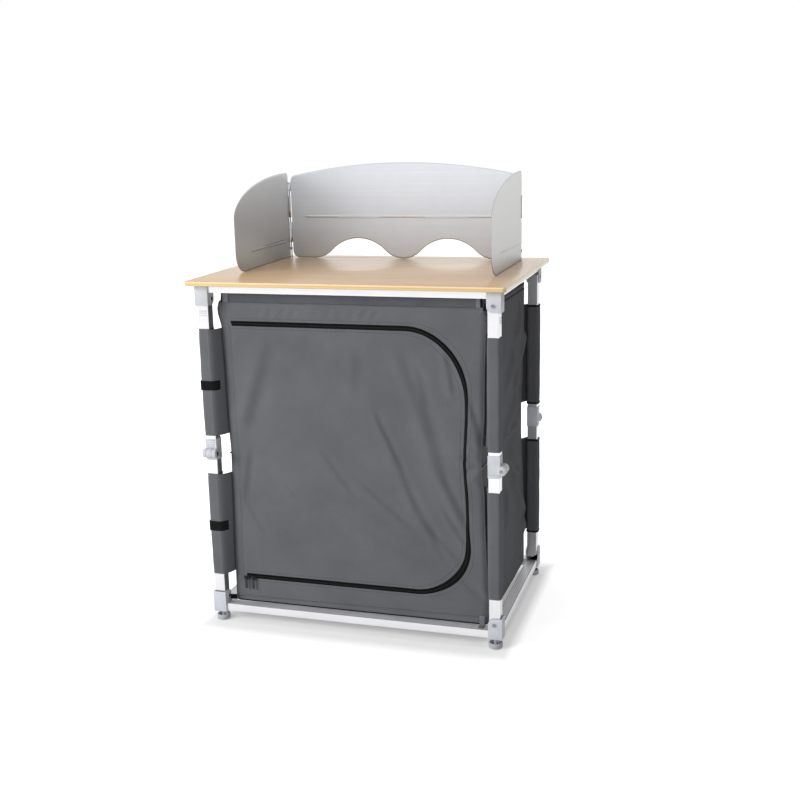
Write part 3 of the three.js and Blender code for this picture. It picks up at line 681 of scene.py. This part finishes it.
def front_outline():
    """The front's outline, with a point for each of the door's: bottom, right, top and left, with its
    upper corners rounder than the lower ones."""
    low, high = 5.0, 14.0
    left, right, bottom, top = -BAG_X, BAG_X, BAG_BOTTOM, PANEL_TOP
    turn_x, turn_z = DOOR_RIGHT - LOWER_CORNER[0], DOOR_BOTTOM + LOWER_CORNER[1]
    over_x, over_z = DOOR_RIGHT - UPPER_CORNER[0], DOOR_TOP - UPPER_CORNER[1]
    return chain(
        arc(left + low, bottom + low, low, low, 225, 270, 6),
        line((left + low, bottom), (turn_x, bottom), RUN - 5),
        line((turn_x, bottom), (right - low, bottom), 19),
        arc(right - low, bottom + low, low, low, -90, 0, 5),
        line((right, bottom + low), (right, turn_z), 18),
        line((right, turn_z), (right, over_z), 70),
        line((right, over_z), (right, top - high), 17),
        arc(right - high, top - high, high, high, 0, 90, 9),
        line((right - high, top), (over_x, top), 22),
        line((over_x, top), (left + high, top), RUN - 5),
        arc(left + high, top - high, high, high, 90, 180, 11),
        line((left, top - high), (left, bottom + low), 80),
        arc(left + low, bottom + low, low, low, 180, 225, 6))[:-1]


def panel_cloth():
    """The front round the door: straight rungs from the door's outline out to the cabinet's outline."""
    inner = chain(door_edge(), line((DOOR_LEFT, DOOR_TOP), (DOOR_LEFT, DOOR_BOTTOM), 90))[:-1]
    outer = front_outline()
    flat = looped(inner[:, None] + (outer - inner)[:, None] * second(0, 1, 22)[..., None])
    thing = piece("front_cloth", [patch(on_front(flat, 0.0), flat, facing=(0, -1, 0))],
                  "cloth", "base", CLOTH)
    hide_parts("front_panel")
    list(zip_half(1, "base", "zip_panel_half"))
    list(seams())
    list(trims())
    flatten(thing)


def plan(inset):
    """The side, back and side of the cabinet seen from above, from the front left edge round to the
    front right edge, as (points, outward normals)."""
    x, y, r = BAG_X - inset, BAG_Y - inset, 14.0
    path = chain(line((-x, WALL_FRONT), (-x, y - r), 40), arc(-x + r, y - r, r, r, 180, 90, 8),
                 line((-x + r, y), (x - r, y), 60), arc(x - r, y - r, r, r, 90, 0, 8),
                 line((x, y - r), (x, WALL_FRONT), 40))
    path = respaced(path, 4.0)
    return path, -sideways(path)


def wall_swell(x, y, z):
    """How far the cabinet's walls stand out from their plane. The sides go with the front's edges at the
    front and with WALL_REAR_SWELL at the rear, both drawn in at the shelf. The back stands out least
    at the floor and at the shelf, on a squared sine."""
    edge = np.where(x < 0, -front_edge(-1, z), front_edge(1, z)) - BAG_X - 0.6
    rear = through(z, WALL_REAR_SWELL)
    side = edge + (rear - edge) * smooth((y + 206) / 412)
    back = 2.5 + 3.5 * np.sin(np.pi * (z - BAG_BOTTOM) / 354) ** 2
    return back + (side - back) * smooth((np.abs(x) - 270) / 29)


def top_drop(y):
    """How far the walls' top edge comes down near their front ends and to the back: quarter circles."""
    short, rear = 14.0, 188
    into = np.maximum(np.clip(short - (y - WALL_FRONT), 0, short), np.clip(y - rear, 0, short))
    return short - circle(short, into)


def on_walls(path, out, offset, z):
    """Points at the heights z, out from the plan's path by the offset."""
    return grid(path[:, :1] + out[:, :1] * offset, path[:, 1:] + out[:, 1:] * offset, z)


def shell_cloth():
    """Sides and back as one sheet: the plan carried up, swelled out and creased, with its top brought
    down on quarter circles at the front ends and to the back."""
    path, out = plan(0.0)
    x, y = path[:, :1], path[:, 1:]
    z = BAG_BOTTOM + (WALL_TOP - top_drop(y) - BAG_BOTTOM) * second(0, 1, 138)
    on_right, on_left = smooth((x - 285) / 12), smooth((-x - 285) / 12)
    on_back = 1 - on_right - on_left
    relief = on_right * creases(y, z, RIGHT_FOLDS) + on_left * creases(-y, z, RIGHT_FOLDS)
    loose = 1.8 * waves(x, z, seed=23, pitch=170) + 1.4 * creases(x, z, FRONT_FOLDS[:6])
    relief = 3.0 * relief + on_back * loose + 0.8 * waves(y, z, seed=5, pitch=110) * (on_right + on_left)
    hem = -1.1 * bell(z, WALL_TOP - 14, 1.5)
    offset = wall_swell(x, y, z) + (relief + hem) * smooth((y - WALL_FRONT - 0.2) / 25)
    s = lengths(path)[:, None]
    thing = piece("shell_cloth", [patch(on_walls(path, out, offset, z), grid(s, z))],
                  "cloth", "base", CLOTH)
    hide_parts("cabinet_bag")
    trim = [band("wall_hem", 0.0, 733.5, 737.0, "binding", 0.9, 3),
            band("wall_top_binding", 0.0, 744.5, 750.0, "binding", 0.9, 4)]
    flatten(thing)


def band(name, inset, low, high, finish, proud, rows, taper=0.0, drop=1.0):
    """A strip round the cabinet's sides and back between two heights, following its walls."""
    path, out = plan(inset)
    x, y = path[:, :1], path[:, 1:]
    t = second(0, 1, rows)
    z = low + (high - low) * t - drop * top_drop(y)
    points = on_walls(path, out, wall_swell(x, y, z) + proud + taper * t, z)
    return flatten(piece(name, [patch(points)], finish, "base", TRIM))


def wall_valance():
    """The cloth inside the walls' top, leaning in to the rails. Its darker copy of the cabinet cloth is
    painted shade under the rails.
    """
    thing = band("wall_valance", 3.5, 730.0, BAG_TOP, "dark_cloth", -1.0, 12, taper=-6.0, drop=0.0)


def front_valance():
    """Behind the front's top edge: a profile up to the rail and over to it, carried along X, with a
    lighter tab at each end. Its darker copy of the cabinet cloth is painted shade under the rail."""
    profile = np.array([(-204.9, 738), (-204.7, 752), (-204.2, 766), (-204.2, 778), (-206.2, 784.0)])
    x = first(-290.5, 299.0, 90)
    points = carried_along(profile, x)
    points[..., 1] += 0.7 * waves(x, 0 * x, seed=3, pitch=60)
    main = piece("front_valance", [patch(points, facing=(0, -1, 0))], "dark_cloth", "base", TRIM)
    ends = [carried_along(profile - (1.4, 0), first(*reach, 6))
            for reach in ((-290.6, -277.3), (284.6, 299.4))]
    tabs = piece("valance_end_tabs", [patch(end, facing=(0, -1, 0)) for end in ends],
                 "webbing", "base", TRIM)
    for thing in (main, tabs):
        flatten(thing)


def level_ways():
    """A level sheet's two parameters: shares of its half width, and Y from the front to the back."""
    return first(-1, 1, 70), second(-203, BAG_Y - 2.2, 50)


def floor_sheet():
    """The fabric floor inside the cabinet: it reaches to the walls, with a faint unevenness."""
    height, inset = 44.9, 2.2
    across, y = level_ways()
    x = across * (BAG_X - inset + wall_swell(across * BAG_X, y, np.array(height)))
    points = grid(x, y, height + 0.25 * waves(x, y, seed=9, pitch=90))
    thing = piece("cabinet_floor_cloth", [patch(points, facing=(0, 0, -1))], "cloth", "base",
                  CLOTH)
    flatten(thing)


def shelf_sheet():
    """The fabric shelf: it goes down with its board."""
    half_width = 292.5
    across, y = level_ways()
    points = grid(across * half_width, y, UNDER_SHELF)
    thing = piece("shelf_cloth", [patch(points, facing=(0, 0, 1))], "cloth", "shelf", CLOTH)


def front_piping():
    """Piping round the front: a circle carried along its outline."""
    radius, sunk = 1.1, 0.2
    path = respaced(looped(front_outline()), 3.0)[:-1]
    away = sideways(np.concatenate([path[-1:], path, path[:1]]))[1:-1]
    turn = np.radians(np.arange(0, 360, 45))
    flat = path[:, None] + away[:, None] * (radius * np.cos(turn))[:, None]
    points = on_front(flat, radius * np.sin(turn) - sunk)
    return piece("front_piping", [patch(points, wrap=(True, True))], "cloth", "base")


def black_trims():
    """The front's black lower edge, the binding beside its upper right corner, and the webbing tab at
    its lower left corner, which bends back from the front on a quadratic."""
    left, right, proud = -294, 299, 0.8
    edge = on_front(grid(first(left, right, 120), second(BAG_BOTTOM + 0.2, BAG_BOTTOM + 2.4, 3)), proud)
    binding = grid(first(293.6, 299.2, 4), -BAG_Y - 0.9, second(750.5, 771, 8))
    tab_length, tab_bend, run = 17.2, 3.4, first(0, 1, 8)
    tab = grid(left - 2 - tab_length * run, -BAG_Y - 1.9 - tab_bend * run**2, second(45.5, 57, 5))
    patches = [patch(points, facing=(0, -1, 0)) for points in (edge, binding, tab)]
    return piece("front_black_trims", patches, "binding", "base", TRIM)


def loop_tab():
    """The webbing at the lower right corner: down the front, round a bend and forwards over the rail."""
    front, bend, bottom = -210.6, 3.0, 44.5
    profile = chain(line((front, 66), (front, bottom + bend), 8),
                    arc(front - bend, bottom + bend, bend, bend, 0, -90, 6),
                    line((front - bend, bottom), (-227.0, 44.1), 8))
    points = carried_along(profile, first(288.0, 300.5, 5))
    return piece("front_loop_tab", [patch(points, facing=(0, -1, 1))], "webbing", "base", TRIM)


def trims():
    """Piping round the front's outline, a black lower edge, and the small tabs at its corners."""
    return [flatten(thing) for thing in (front_piping(), black_trims(), loop_tab())]


# Zip and seams. The teeth's pitch is 2 mm, and a seam runs beside the zip on both sides
TOOTH_PITCH = 2.0
SEAM = 11.5


def tape_reach(path):
    """How much of the tape shows on each side: 5.6 mm, less up the door's right side, where the cloth
    closes over it, and more in the lower corner, where it gapes."""
    x, z = path[:, 0], path[:, 1]
    upright = smooth((x - 225) / 37) * smooth((z - 200) / 90) * smooth((640 - z) / 110)
    return 5.6 * (1 - 0.43 * upright) + 2.2 * bell(x, 232, 46) * bell(z, 142, 46)


def zip_half(side, body, name):
    """Half of the zip: a flat tape beside the path and a ribbed coil along it, whose radius waves
    with the teeth. side is +1 for the panel's half and -1 for the door's."""
    gap, coil_at, radius, rib = 0.6, 0.98, 0.8, 0.22
    path = respaced(door_edge(), 1.0)[6:-3]
    normal = sideways(path)
    reach = side * (gap + (tape_reach(path) - gap)[:, None] * second(0, 1, 4))
    flat = path[:, None] + normal[:, None] * reach[..., None]
    tape = piece(name + "_tape", [patch(on_front(flat, 0.55), facing=(0, -1, 0))], "tape", body, 0.45)
    turn = second(0, 2 * np.pi, 9)[:, :-1]
    wavy = radius + rib * np.cos(2 * np.pi * lengths(path) / TOOTH_PITCH + (side < 0) * np.pi)[:, None]
    flat = path[:, None] + normal[:, None] * (side * coil_at + wavy * np.cos(turn))[..., None]
    coil = piece(name + "_coil", capped(on_front(flat, 1.3 + wavy * np.sin(turn))), "coil", body)
    return [flatten(thing) for thing in (tape, coil)]


def stitches(name, path, body):
    """A row of sewn stitches on the front cloth: small capsules along the path, each a ring of three
    points that swells and closes."""
    pitch, long, proud, radius = 4.2, 3.0, 0.15, 0.32
    at = np.arange(pitch, lengths(path)[-1] - pitch, pitch)
    along_it = np.array([-0.5, -0.38, 0.0, 0.38, 0.5]) * long
    fat = np.array([0.0, 0.75, 1.0, 0.75, 0.0])[:, None] * radius
    ring = np.radians([90, 210, 330])
    where = at[:, None] + along_it
    middle, side = along(path, where), along(path, where, sideways(path))
    flat = middle[:, :, None] + side[:, :, None] * (fat * np.cos(ring))[..., None]
    capsules = on_front(flat, proud + fat * np.sin(ring))
    return flatten(piece(name, [patch(one, wrap=(False, True)) for one in capsules], "thread", body))


def seams():
    """The front's stitching: outside the zip, along the door's sewn edge and along the bottom hem."""
    return [stitches("zip_stitching_base", respaced(door_edge(SEAM), 2.0), "base"),
            stitches("hinge_stitching", line((-279, 110), (-279, 700), 300), "base"),
            stitches("hem_stitching", line((-289, 56), (296, 62), 300), "base")]


# Leg sleeves
def sleeve_ring():
    """Rounded square round a leg, as offsets from the leg's middle."""
    half, r, count = 14.0, 6.5, 48
    h = half - r
    quarters = [arc(sx * h, sy * h, r, r, start, start + 90, 7)
                for sx, sy, start in ((1, 1, 0), (-1, 1, 90), (-1, -1, 180), (1, -1, 270))]
    ring = looped(np.concatenate(quarters))
    return along(ring, np.linspace(0, lengths(ring)[-1], count + 1)[:-1])


def sleeve(corner, part):
    """A cloth sleeve: the ring carried up the leg, with a soft crumple and a sewn groove 6 mm from each
    end. The back ones are in a darker copy of the sleeve cloth, painted shade for the back legs, and
    bound in black."""
    sx, sy = CORNERS[corner]
    low, high = box_of(f"{part}_sleeve_{corner}")[:, 2]
    body, on_leg = f"{part}_{corner}", [f"{part}_leg_{corner}"]
    # the back legs take the darker copy of the sleeve cloth: painted shade
    finish = "sleeve" if sy < 0 else "back_sleeve"
    ring = sleeve_ring()
    out = ring / np.linalg.norm(ring, axis=1, keepdims=True)
    z = second(low, high, round((high - low) / 2.2) + 1)
    crumple = waves(first(0, len(ring) - 1, len(ring)) * 2.5, z, seed=31 + len(corner) + int(low), pitch=60)
    swell = 0.6 * crumple + 0.55 + 0.6 * np.sin(np.pi * (z - low) / (high - low))
    swell = np.maximum(swell - 0.7 * (bell(z, low + 6, 1.2) + bell(z, high - 6, 1.2)), -0.2)
    flat = ring[:, None] + out[:, None] * swell[..., None]
    points = grid(flat[..., 0] + sx * LEG_X, flat[..., 1] + sy * LEG_Y, z)
    thing = piece(f"{part}_sleeve_cloth_{corner}", [patch(points, wrap=(True, False))],
                  finish, body, CLOTH)
    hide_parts(f"{part}_sleeve_{corner}")
    bindings = []
    if sy > 0:
        edge = ring + out * 1.3 + (sx * LEG_X, sy * LEG_Y)
        bound = [patch(carried_up(edge, second(start, start + 4, 4)), wrap=(True, False))
                 for start in (low, high - 4)]
        bindings = [piece(f"{part}_sleeve_binding_{corner}", bound, "binding", body, TRIM)]
    flap(corner, part, low, high, finish)


FLAP_COLUMNS = 11


def flap_path(corner, z):
    """From the sleeve's outer corner in to the cabinet's corner, seen from above at the heights z: a
    quadratic curve, whose far end follows the cabinet's edge."""
    sx, sy = CORNERS[corner]
    edge = np.abs(front_edge(sx, z))
    if corner == "front_right":
        start, middle, end = (312.6, 211.0), (305.0, 199.0), (edge + 0.8, 186.0)
    elif sy < 0:
        start, middle, end = (319.0, 235.3), (305.0, 234.5), (edge + 0.4, 203.9)
    else:
        start, middle, end = (312.6, 234.2), (306.0, 227.0), (297.5 + 0 * z, 209.4)
    t = first(0, 1, FLAP_COLUMNS)
    x, y = ((1 - t) ** 2 * start[k] + 2 * t * (1 - t) * middle[k] + t**2 * end[k] + 0 * z for k in (0, 1))
    return x * sx, y * sy


def flap(corner, part, low, high, finish):
    """The cloth that joins a sleeve to the cabinet: the curve of flap_path carried up the leg."""
    z = second(low + 1, high - 1, 70)
    x, y = flap_path(corner, z)
    sag = np.sin(np.pi * first(0, 1, FLAP_COLUMNS))
    columns = first(0, FLAP_COLUMNS - 1, FLAP_COLUMNS)
    wave = 0.9 * sag * waves(columns * 4.0, z, seed=77 + len(corner), pitch=60)
    sx, sy = CORNERS[corner]
    points = grid(x + 0.7 * sx * wave, y + 0.7 * sy * wave, z)
    thing = piece(f"{part}_flap_{corner}", [patch(points, facing=(sx, sy, 0))], finish,
                  f"{part}_{corner}", CLOTH)
    if corner in ("front_right", "back_left"):
        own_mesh(thing)


def strap(part, low, high):
    """A hook-and-loop strap round the front left sleeve and over the near part of its flap."""
    h, r = 16.6, 6.0
    left, front = -LEG_X - h, -LEG_Y - h
    x, y = flap_path("front_left", np.array([[0.5 * (low + high)]]))
    over = np.concatenate([x + 1.5, y - 1.6], 1)[:8]
    outline = chain(line((left, 8 - LEG_Y), (left, front + r), 6),
                    arc(left + r, front + r, r, r, 180, 270, 8),
                    line((left + r, front), over[1], 8), over[1:])
    points = carried_up(outline, second(low, high, 7))
    thing = piece(f"{part}_hook_strap", [patch(points, facing=(-1, -1, 0))], "binding",
                  f"{part}_front_left", 1.3)
    soften_edges(thing, 0.4)


# Windscreen. Its sheets end short of the rods, stand beside their axes and just over the worktop
SHEET_EDGE = 3.4
SHEET_OFFSET = 2.2
HALF_SHEET = SHEET / 2
FOOT_GAP = 0.3


def screen_foot(x):
    """The panel's lower edge: flat feet, and two scallops made of a foot arc, an arch arc and a foot
    arc that meet without a corner."""
    width, height, foot, middle = 228.2, 48.5, 62.0, 114.6
    half = width / 2
    both = (half**2 + height**2) / (2 * height)
    arch = both - foot
    d = np.abs(np.abs(x) - middle)
    crown = height - arch + circle(arch, d)
    side = foot - circle(foot, half - d)
    return FOOT_GAP + np.where(d < arch * half / both, crown, np.where(d < half, side, 0))


def hinge_roll(side, kind, low, high):
    """A hinge knuckle: from the sheet's edge a strip runs to the rod and rolls round it, carried up.
    kind -1 is the panel's, which lies behind the rod, and +1 the wing's, which lies outside it."""
    radius = 2.7
    profile = chain(line((SHEET_EDGE + 2.0, radius), (0, radius), 5), arc(0, 0, radius, radius, 90, -200, 16))
    sx = 1 if side == 0 else -1
    if kind < 0:
        flat = profile * (sx, 1)
    else:
        flat = np.stack([-sx * profile[:, 1], -profile[:, 0]], -1)
    flat = flat + (SCREEN_X[side], SCREEN_Y)
    return patch(carried_up(flat, second(TABLE_TOP + low, TABLE_TOP + high, 4)))


def screen_sheet():
    """The windscreen's back: columns between a scalloped lower edge and a crowned upper edge, with a
    pressed line across it and rolled hinge edges."""
    r, end_top, crease = 17.0, 204.5, 102.5
    half = (SCREEN_X[1] - SCREEN_X[0]) / 2 - SHEET_EDGE
    run, rise = half - r, SCREEN_HEIGHT - end_top
    crown = (run**2 + rise**2) / (2 * rise)
    corner = run + r * np.sin(np.linspace(0, np.pi / 2, 12))
    x = np.concatenate([-corner[::-1], np.linspace(-run, run, 230)[1:-1], corner])[:, None]
    inside = np.abs(x) <= run
    over = circle(r, np.abs(x) - run)
    top = np.where(inside, SCREEN_HEIGHT - crown + circle(crown, x), end_top - r + over)
    low = np.where(inside, screen_foot(x), FOOT_GAP + r - over)
    v = np.unique(np.concatenate([np.linspace(0, 1, 60), np.linspace(0.36, 0.56, 60)]))
    h = low + (top - low) * v
    press = 1.1 * bell(h, crease, 2.0) * window(x, -258, 262, 14)
    y = SCREEN_Y + SHEET_OFFSET - HALF_SHEET - press + 0.35 * waves(x, h, seed=41, pitch=300)
    points = grid(x + (SCREEN_X[0] + SCREEN_X[1]) / 2, y, TABLE_TOP + h)
    rolled = [hinge_roll(side, -1, *ends) for side in (0, 1) for ends in ((38, 88), (164, 184))]
    thing = piece("screen_sheet", [patch(points, facing=(0, -1, 0)), *rolled], "screen",
                  "windscreen", SHEET)
    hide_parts("windscreen_panel")


def wing_sheet(side):
    """A wing: columns away from its rod between a lower edge with a round front corner and an upper
    edge that falls to the front on a quarter ellipse, with a short pressed line."""
    front, flat_end, low_r, rear_r, curve_from, crease = 122.0, 22.0, 46.0, 12.0, 230, 43
    quarter = np.pi / 2
    near = SHEET_EDGE + rear_r * (1 - np.cos(np.linspace(0, quarter, 9)))
    far = WING_LENGTH - (WING_LENGTH - curve_from) * (1 - np.sin(np.linspace(0, quarter, 60)))
    s = np.unique(np.concatenate([near, np.linspace(near[-1], curve_from, 90), far]))[:, None]
    fall = np.clip((s - flat_end) / (WING_LENGTH - flat_end), 0, 1)
    level = WING_HEIGHT - rear_r + circle(rear_r, np.maximum(SHEET_EDGE + rear_r - s, 0))
    top = np.where(s < flat_end, level, front + (WING_HEIGHT - front) * circle(1, fall))
    low = FOOT_GAP + low_r - circle(low_r, np.maximum(s - WING_LENGTH + low_r, 0))
    v = np.unique(np.concatenate([np.linspace(0, 1, 46), np.linspace(0.1, 0.5, 50)]))
    h = low + (top - low) * v
    press = bell(h, crease, 1.9) * window(s, 30, 246, 10)
    sx = -1 if side == 0 else 1
    x = SCREEN_X[side] + sx * (SHEET_OFFSET + HALF_SHEET - press)
    points = grid(x + 0.3 * waves(s, h, seed=51 + side, pitch=260), SCREEN_Y - s, TABLE_TOP + h)
    rolled = [hinge_roll(side, 1, *ends) for ends in ((20, 26), (100, 152))]
    name = "left" if side == 0 else "right"
    thing = piece(f"screen_wing_{name}", [patch(points, facing=(sx, 0, 0)), *rolled], "wing",
                  f"wing_{name}", SHEET)
    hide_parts(f"windscreen_wing_{name}")


# Metal, plastic and wood: the kinds of node that are shown as they are, with their finish, and those
# that are shown as softened copies, with finish, slot and width
DRESSED = [(("bottom_rail", "top_rail"), "rail"), (("lower_leg", "upper_leg"), "frame"),
           (("floor_board", "shelf_board"), "board"), ("hinge_rod", "steel")]
SOFTENED = [(("bottom_connector", "top_connector"), "fitting", "fitting", 0.7),
            (("lower_knuckle", "upper_knuckle"), "fitting", "fitting", 0.7),
            ("foot", "foot", "foot", 0.8), (("zip_slider", "zip_pull"), "zip_metal", "zip", 0.35)]


def carried_over():
    """The model's own metal, plastic and wood nodes, in their finishes and with softened edges."""
    softened("table_top", "laminate", "worktop", 1.3)
    for name in cad:
        for kinds, finish in DRESSED:
            if name.startswith(kinds):
                dress(name, finish)
        for kinds, *look in SOFTENED:
            if name.startswith(kinds):
                softened(name, *look)


def at_corner(points, corner):
    """Points given round the front right leg's axis, turned and moved to another leg."""
    c, n = [(1, 0), (0, 1), (-1, 0), (0, -1)][list(CORNERS).index(corner)]
    sx, sy = CORNERS[corner]
    x, y = points[..., 0], points[..., 1]
    return grid(x * c - y * n + sx * LEG_X, x * n + y * c + sy * LEG_Y, points[..., 2])


HEAD_SHARES = [0, 0.12, 0.24, 0.36, 0.48, 0.6, 0.74, 0.88, 0.97, 1.0, 1.0, 0.0]


def head(corner, radius, height, recess, place, face):
    """A round head: its crown falls with the square of the radius, and a slot or a cross is sunk in it
    with smooth sides. It stands on place, given round the front right leg's axis, and looks to -Y or
    +Y there. Its last three rings are the rim, and the foot below the face that it stands on."""
    arm, arm_side, depth, rim, foot = 0.8, 0.35, 0.75, 0.25, 0.4
    share = np.array(HEAD_SHARES)[:, None]
    a = np.radians(np.arange(0, 360, 7.5))
    x, y = radius * share * np.cos(a), radius * share * np.sin(a)
    z = height * (1 - 0.7 * share**2) + 0 * a
    if recess:
        arms = smooth((arm - np.abs(x)) / arm_side)
        reach = 0.95
        if recess == "cross":
            arms = np.maximum(arms, smooth((arm - np.abs(y)) / arm_side))
            reach = 0.66
        z -= depth * arms * smooth((reach * radius - np.hypot(x, y)) / 0.4)
    z[9] = rim * height
    z[10:] = -foot
    points = grid(x + place[0], place[1] + face * z, y + place[2])
    return patch(at_corner(points, corner), wrap=(False, True))


def ribs(corner, heights, x, half):
    """Low half-round bars across a fitting's outer face, one at each height, closed at the back."""
    turn = np.radians(np.linspace(-90, 90, 7))
    ring_x, ring_z = np.append(np.cos(turn), -0.4), np.append(np.sin(turn), 0.0)
    y = np.array([-half - 0.6, -half, half, half + 0.6])[:, None]
    size = np.array([0.2, 1.0, 1.0, 0.2])[:, None] * 0.85
    patches = []
    for z in heights:
        patches += capped(at_corner(grid(x + size * ring_x, y, z + size * 1.1 * ring_z), corner))
    return patches


def hardware():
    """Screw heads at every pivot, domes on the knees, and ribs on the knees' and upper legs' plugs."""
    pivot_face, knee_face, cover_face, nut_face = 17.0, 15.4, 18.5, 16.6
    knee_ribs, plug_ribs = KNEE + 14 + 5 * np.arange(4), UPPER_PIVOT - 36 + 5 * np.arange(3)
    for body, z in (("base", LOWER_PIVOT), ("top_frame", UPPER_PIVOT)):
        for face, finish, recess in ((-1, "steel", "cross"), (1, "dark_screw", "slot")):
            heads = [head(c, 4.3, 1.3, recess, (0.0, face * pivot_face, z), face) for c in CORNERS]
            piece(f"{body}_{finish}_heads", heads, finish, body)
    for c in CORNERS:
        body = f"upper_{c}"
        cover = [head(c, 9.6, 3.4, None, (KNEE_OUT, -knee_face, KNEE), -1)]
        cover += ribs(c, knee_ribs, 13.2, 9.5) + ribs(c, plug_ribs, 12.45, 8.5)
        screw = head(c, 4.0, 1.2, "cross", (KNEE_OUT, -cover_face, KNEE), -1)
        nut = head(c, 5.2, 1.2, "slot", (KNEE_OUT, nut_face, KNEE), 1)
        piece(f"knee_cover_{c}", cover, "fitting", body)
        piece(f"knee_screw_{c}", [screw], "steel", body)
        piece(f"knee_nut_{c}", [nut], "dark_screw", body)


# Camera, floor and light. The lens and its sensor are in millimetres, places in metres, turns in
# degrees, and a lamp is its name, place, target, size and watts
LENS, SENSOR = 52.887, 36.0
EYE, EYE_TURNS = (0.8391, -2.5587, 1.1362), (17.107, 13.498, -1.34)
WORLD_LIGHT = 0.24
LAMPS = [
    ("key", (-2.6, -2.7, 1.8), (0, 0, 0.45), 1.5, 110),
    ("top", (0.0, 0.35, 3.2), (0, 0, 0.5), 2.2, 42),
    ("front", (1.1, -4.0, 1.2), (0, 0, 0.45), 1.4, 27),
]


def camera():
    """The photograph's camera: level and looking along +Y, then turned by yaw, pitch and roll."""
    scene = bpy.context.scene
    scene.view_settings.view_transform = "Standard"
    eye = bpy.data.cameras.new("camera")
    eye.lens, eye.sensor_width, eye.clip_end = LENS, SENSOR, 60.0
    thing = bpy.data.objects.new("camera", eye)
    yaw, pitch, roll = (math.radians(a) for a in EYE_TURNS)
    thing.matrix_world = (Matrix.Translation(EYE) @ Matrix.Rotation(yaw, 4, "Z")
                          @ Matrix.Rotation(math.pi / 2 - pitch, 4, "X") @ Matrix.Rotation(roll, 4, "Z"))
    scene.collection.objects.link(thing)
    scene.camera = thing


def pale_floor():
    """A plain white floor that shows white to the camera and in gloss. Near the unit that glow is turned
    down, a painted contact shadow over the real one, most under the unit and in a strip in front of
    and behind it."""
    reach = 14.0
    mesh = bpy.data.meshes.new("floor")
    mesh.from_pydata([(-reach, -reach, 0), (reach, -reach, 0), (reach, reach, 0), (-reach, reach, 0)],
                     [], [(0, 1, 2, 3)])
    floor = bpy.data.objects.new("floor", mesh)
    bpy.context.scene.collection.objects.link(floor)
    tree = fresh("white_floor", Roughness=0.9, Specular_IOR_Level=0.1, Base_Color=(0.72, 0.72, 0.72, 1))
    distance = tree.add("VectorMath", {"operation": "LENGTH"}, in0=tree.where).outputs["Value"]
    # painted contact shadow: the glow the camera sees is turned down within 1.6 m of the unit, most under it
    # and in a 0.1 m strip in front of and behind it
    far = tree.stretch(distance, 0.68, 1.0, 0.4, 1.6)
    ahead = tree.stretch(tree.maths("ABSOLUTE", tree.part(tree.where, "Y")), 0.3, 1.0, 0.26, 0.36)
    beside = tree.stretch(tree.maths("ABSOLUTE", tree.part(tree.where, "X")), 0.0, 1.0, 0.33, 0.4)
    clear = tree.maths("MINIMUM", far, tree.maths("MAXIMUM", ahead, beside))
    strength = tree.maths("MULTIPLY", tree.direct(), clear)
    glow = tree.add("Emission", Color=(1, 1, 1, 1), Strength=strength).outputs[0]
    both = tree.add("AddShader", in0=tree.shader.outputs[0], in1=glow).outputs[0]
    tree.links.new(both, tree.nodes["Material Output"].inputs["Surface"])
    mesh.materials.append(tree.owner)


def soft_light():
    """A white world, full to the camera and in gloss and dim as light, and three soft square lamps."""
    tree = Tree(bpy.data.worlds.new("studio"), "Background", Color=(1, 1, 1, 1))
    tree.join(tree.stretch(tree.direct(), WORLD_LIGHT, 1.0), "Strength")
    bpy.context.scene.world = tree.owner
    for name, place, target, size, watts in LAMPS:
        data = bpy.data.lights.new(name, "AREA")
        data.shape, data.size, data.energy = "SQUARE", size, watts
        lamp = bpy.data.objects.new(name, data)
        aim = (Vector(target) - Vector(place)).to_track_quat("-Z", "Y").to_matrix().to_4x4()
        lamp.matrix_world = Matrix.Translation(place) @ aim
        lamp.visible_glossy = False
        bpy.context.scene.collection.objects.link(lamp)


# Making
camera()
pale_floor()
soft_light()
carried_over()
hardware()
door_cloth()
panel_cloth()
shell_cloth()
wall_valance()
front_valance()
floor_sheet()
shelf_sheet()
for corner_name in CORNERS:
    sleeve(corner_name, "lower")
    sleeve(corner_name, "upper")
strap("upper", 553.5, 575.0)
strap("lower", 222.0, 245.0)
screen_sheet()
wing_sheet(0)
wing_sheet(1)
